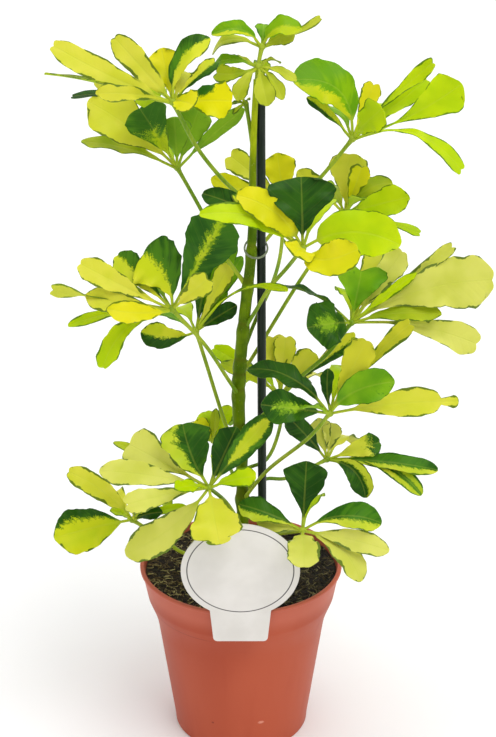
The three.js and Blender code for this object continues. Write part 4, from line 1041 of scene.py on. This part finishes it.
def build_stake(material):
    foot, top = np.array(STAKE_FOOT, float), np.array(STAKE_TOP, float)
    length = np.linalg.norm(top - foot)
    stops = [(0, 1.6), (1, 2.3), (2, STAKE_RADIUS), (length - 1, STAKE_RADIUS),
             (length - 0.4, 2.35), (length, 1.9)]
    stops += [(2 + (length - 3) * i / STAKE_STEPS, STAKE_RADIUS) for i in range(1, STAKE_STEPS)]
    stops.sort()
    builder = Builder()
    centres = [foot + (top - foot) * at / length for at, _ in stops]
    tube(builder, centres, [radius for _, radius in stops], STAKE_SIDES)
    piece = builder.piece("stake_sleeve", [material])
    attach(piece, BODY)
    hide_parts("stake")


def tie_material():
    """Thin dull green-grey coated wire."""
    shader = Shader("tie_wire")
    speckle = shader.noise(shader.position(), 0.8, 3)
    colour = shader.blend(shader.ramped(speckle, 0.35, 0.65), (112, 124, 96), (146, 152, 130))
    shader.set("Metallic", 0.4)
    shader.bump(speckle, 0.1, 0.5)
    return shader.finished(colour, 0.3 + speckle * 0.25)


def build_tie(material):
    tilt = math.radians(TIE_TILT)
    cos, sin = math.cos(tilt), math.sin(tilt)
    turn = np.array([[1, 0, 0], [0, cos, -sin], [0, sin, cos]])
    stretch = TIE_DEPTH / TIE_RADIUS / cos
    points = []
    for a in np.linspace(0, 2 * np.pi, TIE_STEPS, endpoint=False):
        for b in np.linspace(0, 2 * np.pi, TIE_SIDES, endpoint=False):
            reach = TIE_RADIUS + TIE_WIRE * math.cos(b)
            local = (reach * math.cos(a), reach * math.sin(a) * stretch, TIE_WIRE * math.sin(b))
            points.append(turn @ local + TIE_CENTRE)
    faces = ring_faces(TIE_STEPS, TIE_SIDES, False, False)
    last = (TIE_STEPS - 1) * TIE_SIDES
    for j in range(TIE_SIDES):
        k = (j + 1) % TIE_SIDES
        faces.append((last + j, last + k, k, j))
    builder = Builder()
    builder.add(points, faces)
    piece = builder.piece("tie_wire", [material], 80)
    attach(piece, BODY)
    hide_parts("wire_tie")


def label_material():
    """Smooth card with a plain thin oval line near its edge."""
    shader = Shader("label_card")
    place = shader.position()
    x, _, z = shader.split(place)
    across = x / (LABEL_WIDTH / 2 - LINE_MARGIN)
    up = (z - LABEL_CENTRE_HEIGHT) / (LABEL_HEIGHT / 2 - LINE_MARGIN)
    off_line = abs(((across ** 2 + up ** 2).root() - 1) * (LABEL_WIDTH / 2))
    line = shader.ramped(off_line, LINE_WIDTH / 2 + LINE_BLUR, LINE_WIDTH / 2 - LINE_BLUR)
    mottle = shader.noise(place, 0.05, 3)
    colour = shader.layered(
        (233, 229, 223), (shader.ramped(mottle, 0.3, 0.7), (222, 218, 211)), (line, (62, 58, 60)))
    shader.bump(shader.noise(place, 3), 0.06, 0.4)
    return shader.finished(colour, 0.34 + mottle * 0.16)


def label_outline():
    """The card's outline as points of x and z: an oval above a tab with rounded corners."""
    half_width, half_height = LABEL_WIDTH / 2, LABEL_HEIGHT / 2
    corner_x, corner_z = TAB_FOOT_WIDTH / 2 - TAB_ROUND, TAB_FOOT + TAB_ROUND
    start = -math.acos(TAB_JOIN_HALF_WIDTH / half_width)
    points = []
    for i in range(OVAL_STEPS + 1):
        angle = start + (math.pi - 2 * start) * i / OVAL_STEPS
        points.append((half_width * math.cos(angle), LABEL_CENTRE_HEIGHT + half_height * math.sin(angle)))
    for sign in (-1, 1):
        angles = [math.pi / 2 * i / TAB_STEPS for i in range(TAB_STEPS + 1)]
        corners = [(sign * (corner_x + TAB_ROUND * math.cos(a)), corner_z - TAB_ROUND * math.sin(a))
                   for a in angles]
        points += corners[::-sign]
    return points


def build_label(material):
    front = -LIP_RADIUS - GAP - LABEL_THICKNESS
    mesh = bmesh.new()
    corners = [mesh.verts.new((x * MM, front * MM, z * MM)) for x, z in label_outline()]
    face = mesh.faces.new(corners)
    result = bmesh.ops.extrude_face_region(mesh, geom=[face])
    moved = [v for v in result["geom"] if isinstance(v, bmesh.types.BMVert)]
    bmesh.ops.translate(mesh, vec=(0, LABEL_THICKNESS * MM, 0), verts=moved)
    rims = [e for e in mesh.edges if len(e.link_faces) == 2 and e.calc_face_angle(0) > 1]
    bmesh.ops.bevel(mesh, geom=rims, offset=LABEL_BEVEL * MM, segments=2, profile=0.6, affect="EDGES")
    bmesh.ops.recalc_face_normals(mesh, faces=mesh.faces)
    data = bpy.data.meshes.new("label_card")
    mesh.to_mesh(data)
    mesh.free()
    data.materials.append(material)
    data.shade_smooth()
    data.set_sharp_from_angle(angle=math.radians(30))
    card = in_scene("label_card", data)
    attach(card, BODY)
    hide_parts("label")

    middle = front + LABEL_THICKNESS / 2
    under = POT_HEIGHT + GAP
    over = under + HOOK_THICKNESS
    foot, low = HOOK_FOOT
    outline = [(middle, under), (middle, over), (HOOK_BEND + HOOK_THICKNESS, over),
               (foot + HOOK_THICKNESS, low), (foot, low), (HOOK_BEND, under)]
    smooth = rounded(outline, {2: 1.2}, 4)
    hook = Builder()
    points = [(x, *point) for x in (-HOOK_HALF_WIDTH, HOOK_HALF_WIDTH) for point in smooth]
    hook.add(points, ring_faces(2, len(smooth)))
    piece = hook.piece("label_hook", [material])
    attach(piece, BODY)


def build_stage():
    """A plain pale floor under soft studio light."""
    mesh = bpy.data.meshes.new("floor")
    corners = [(x * FLOOR_REACH, y * FLOOR_REACH, 0) for x, y in ((-1, -1), (1, -1), (1, 1), (-1, 1))]
    mesh.from_pydata(corners, [], [(0, 1, 2, 3)])
    shader = Shader("floor_paper")
    grain = shader.noise(shader.position(), 0.02)
    mesh.materials.append(shader.finished(shader.blend(grain, (250, 250, 250), (253, 253, 253)), 0.9))
    in_scene("floor", mesh)

    world = bpy.data.worlds.new("studio")
    world.use_nodes = True
    background = world.node_tree.nodes["Background"]
    background.inputs["Color"].default_value = (1, 1, 1, 1)
    background.inputs["Strength"].default_value = WORLD_LIGHT
    bpy.context.scene.world = world

    for name, azimuth, elevation, spread, strength in LIGHTS:
        light = bpy.data.lights.new(name, "SUN")
        light.energy = strength
        light.angle = math.radians(spread)
        lamp = in_scene(name, light)
        lamp.rotation_euler = (math.radians(90 - elevation), 0, math.radians(azimuth))


def build_camera():
    camera = bpy.data.cameras.new("camera")
    camera.sensor_width = CAMERA_SENSOR
    camera.lens = CAMERA_LENS
    camera.clip_start = 0.05
    holder = in_scene("camera", camera)
    holder.location = Vector(CAMERA_PLACE) * MM
    holder.rotation_euler = (math.radians(90 - CAMERA_PITCH), 0, 0)
    bpy.context.scene.camera = holder


build_camera()
build_stage()
build_pot(pot_material())
build_soil(soil_material(), fibre_material())
build_stem(stem_material())
build_stake(stake_material())
build_tie(tie_material())
build_label(label_material())
used_kinds = sorted({row[COLOUR_COLUMN] for leaf in LEAVES for row in leaf[4:]})
build_leaves({kind: leaf_material(kind) for kind in used_kinds}, stalk_material())

bpy.context.scene.view_settings.view_transform = "Standard"
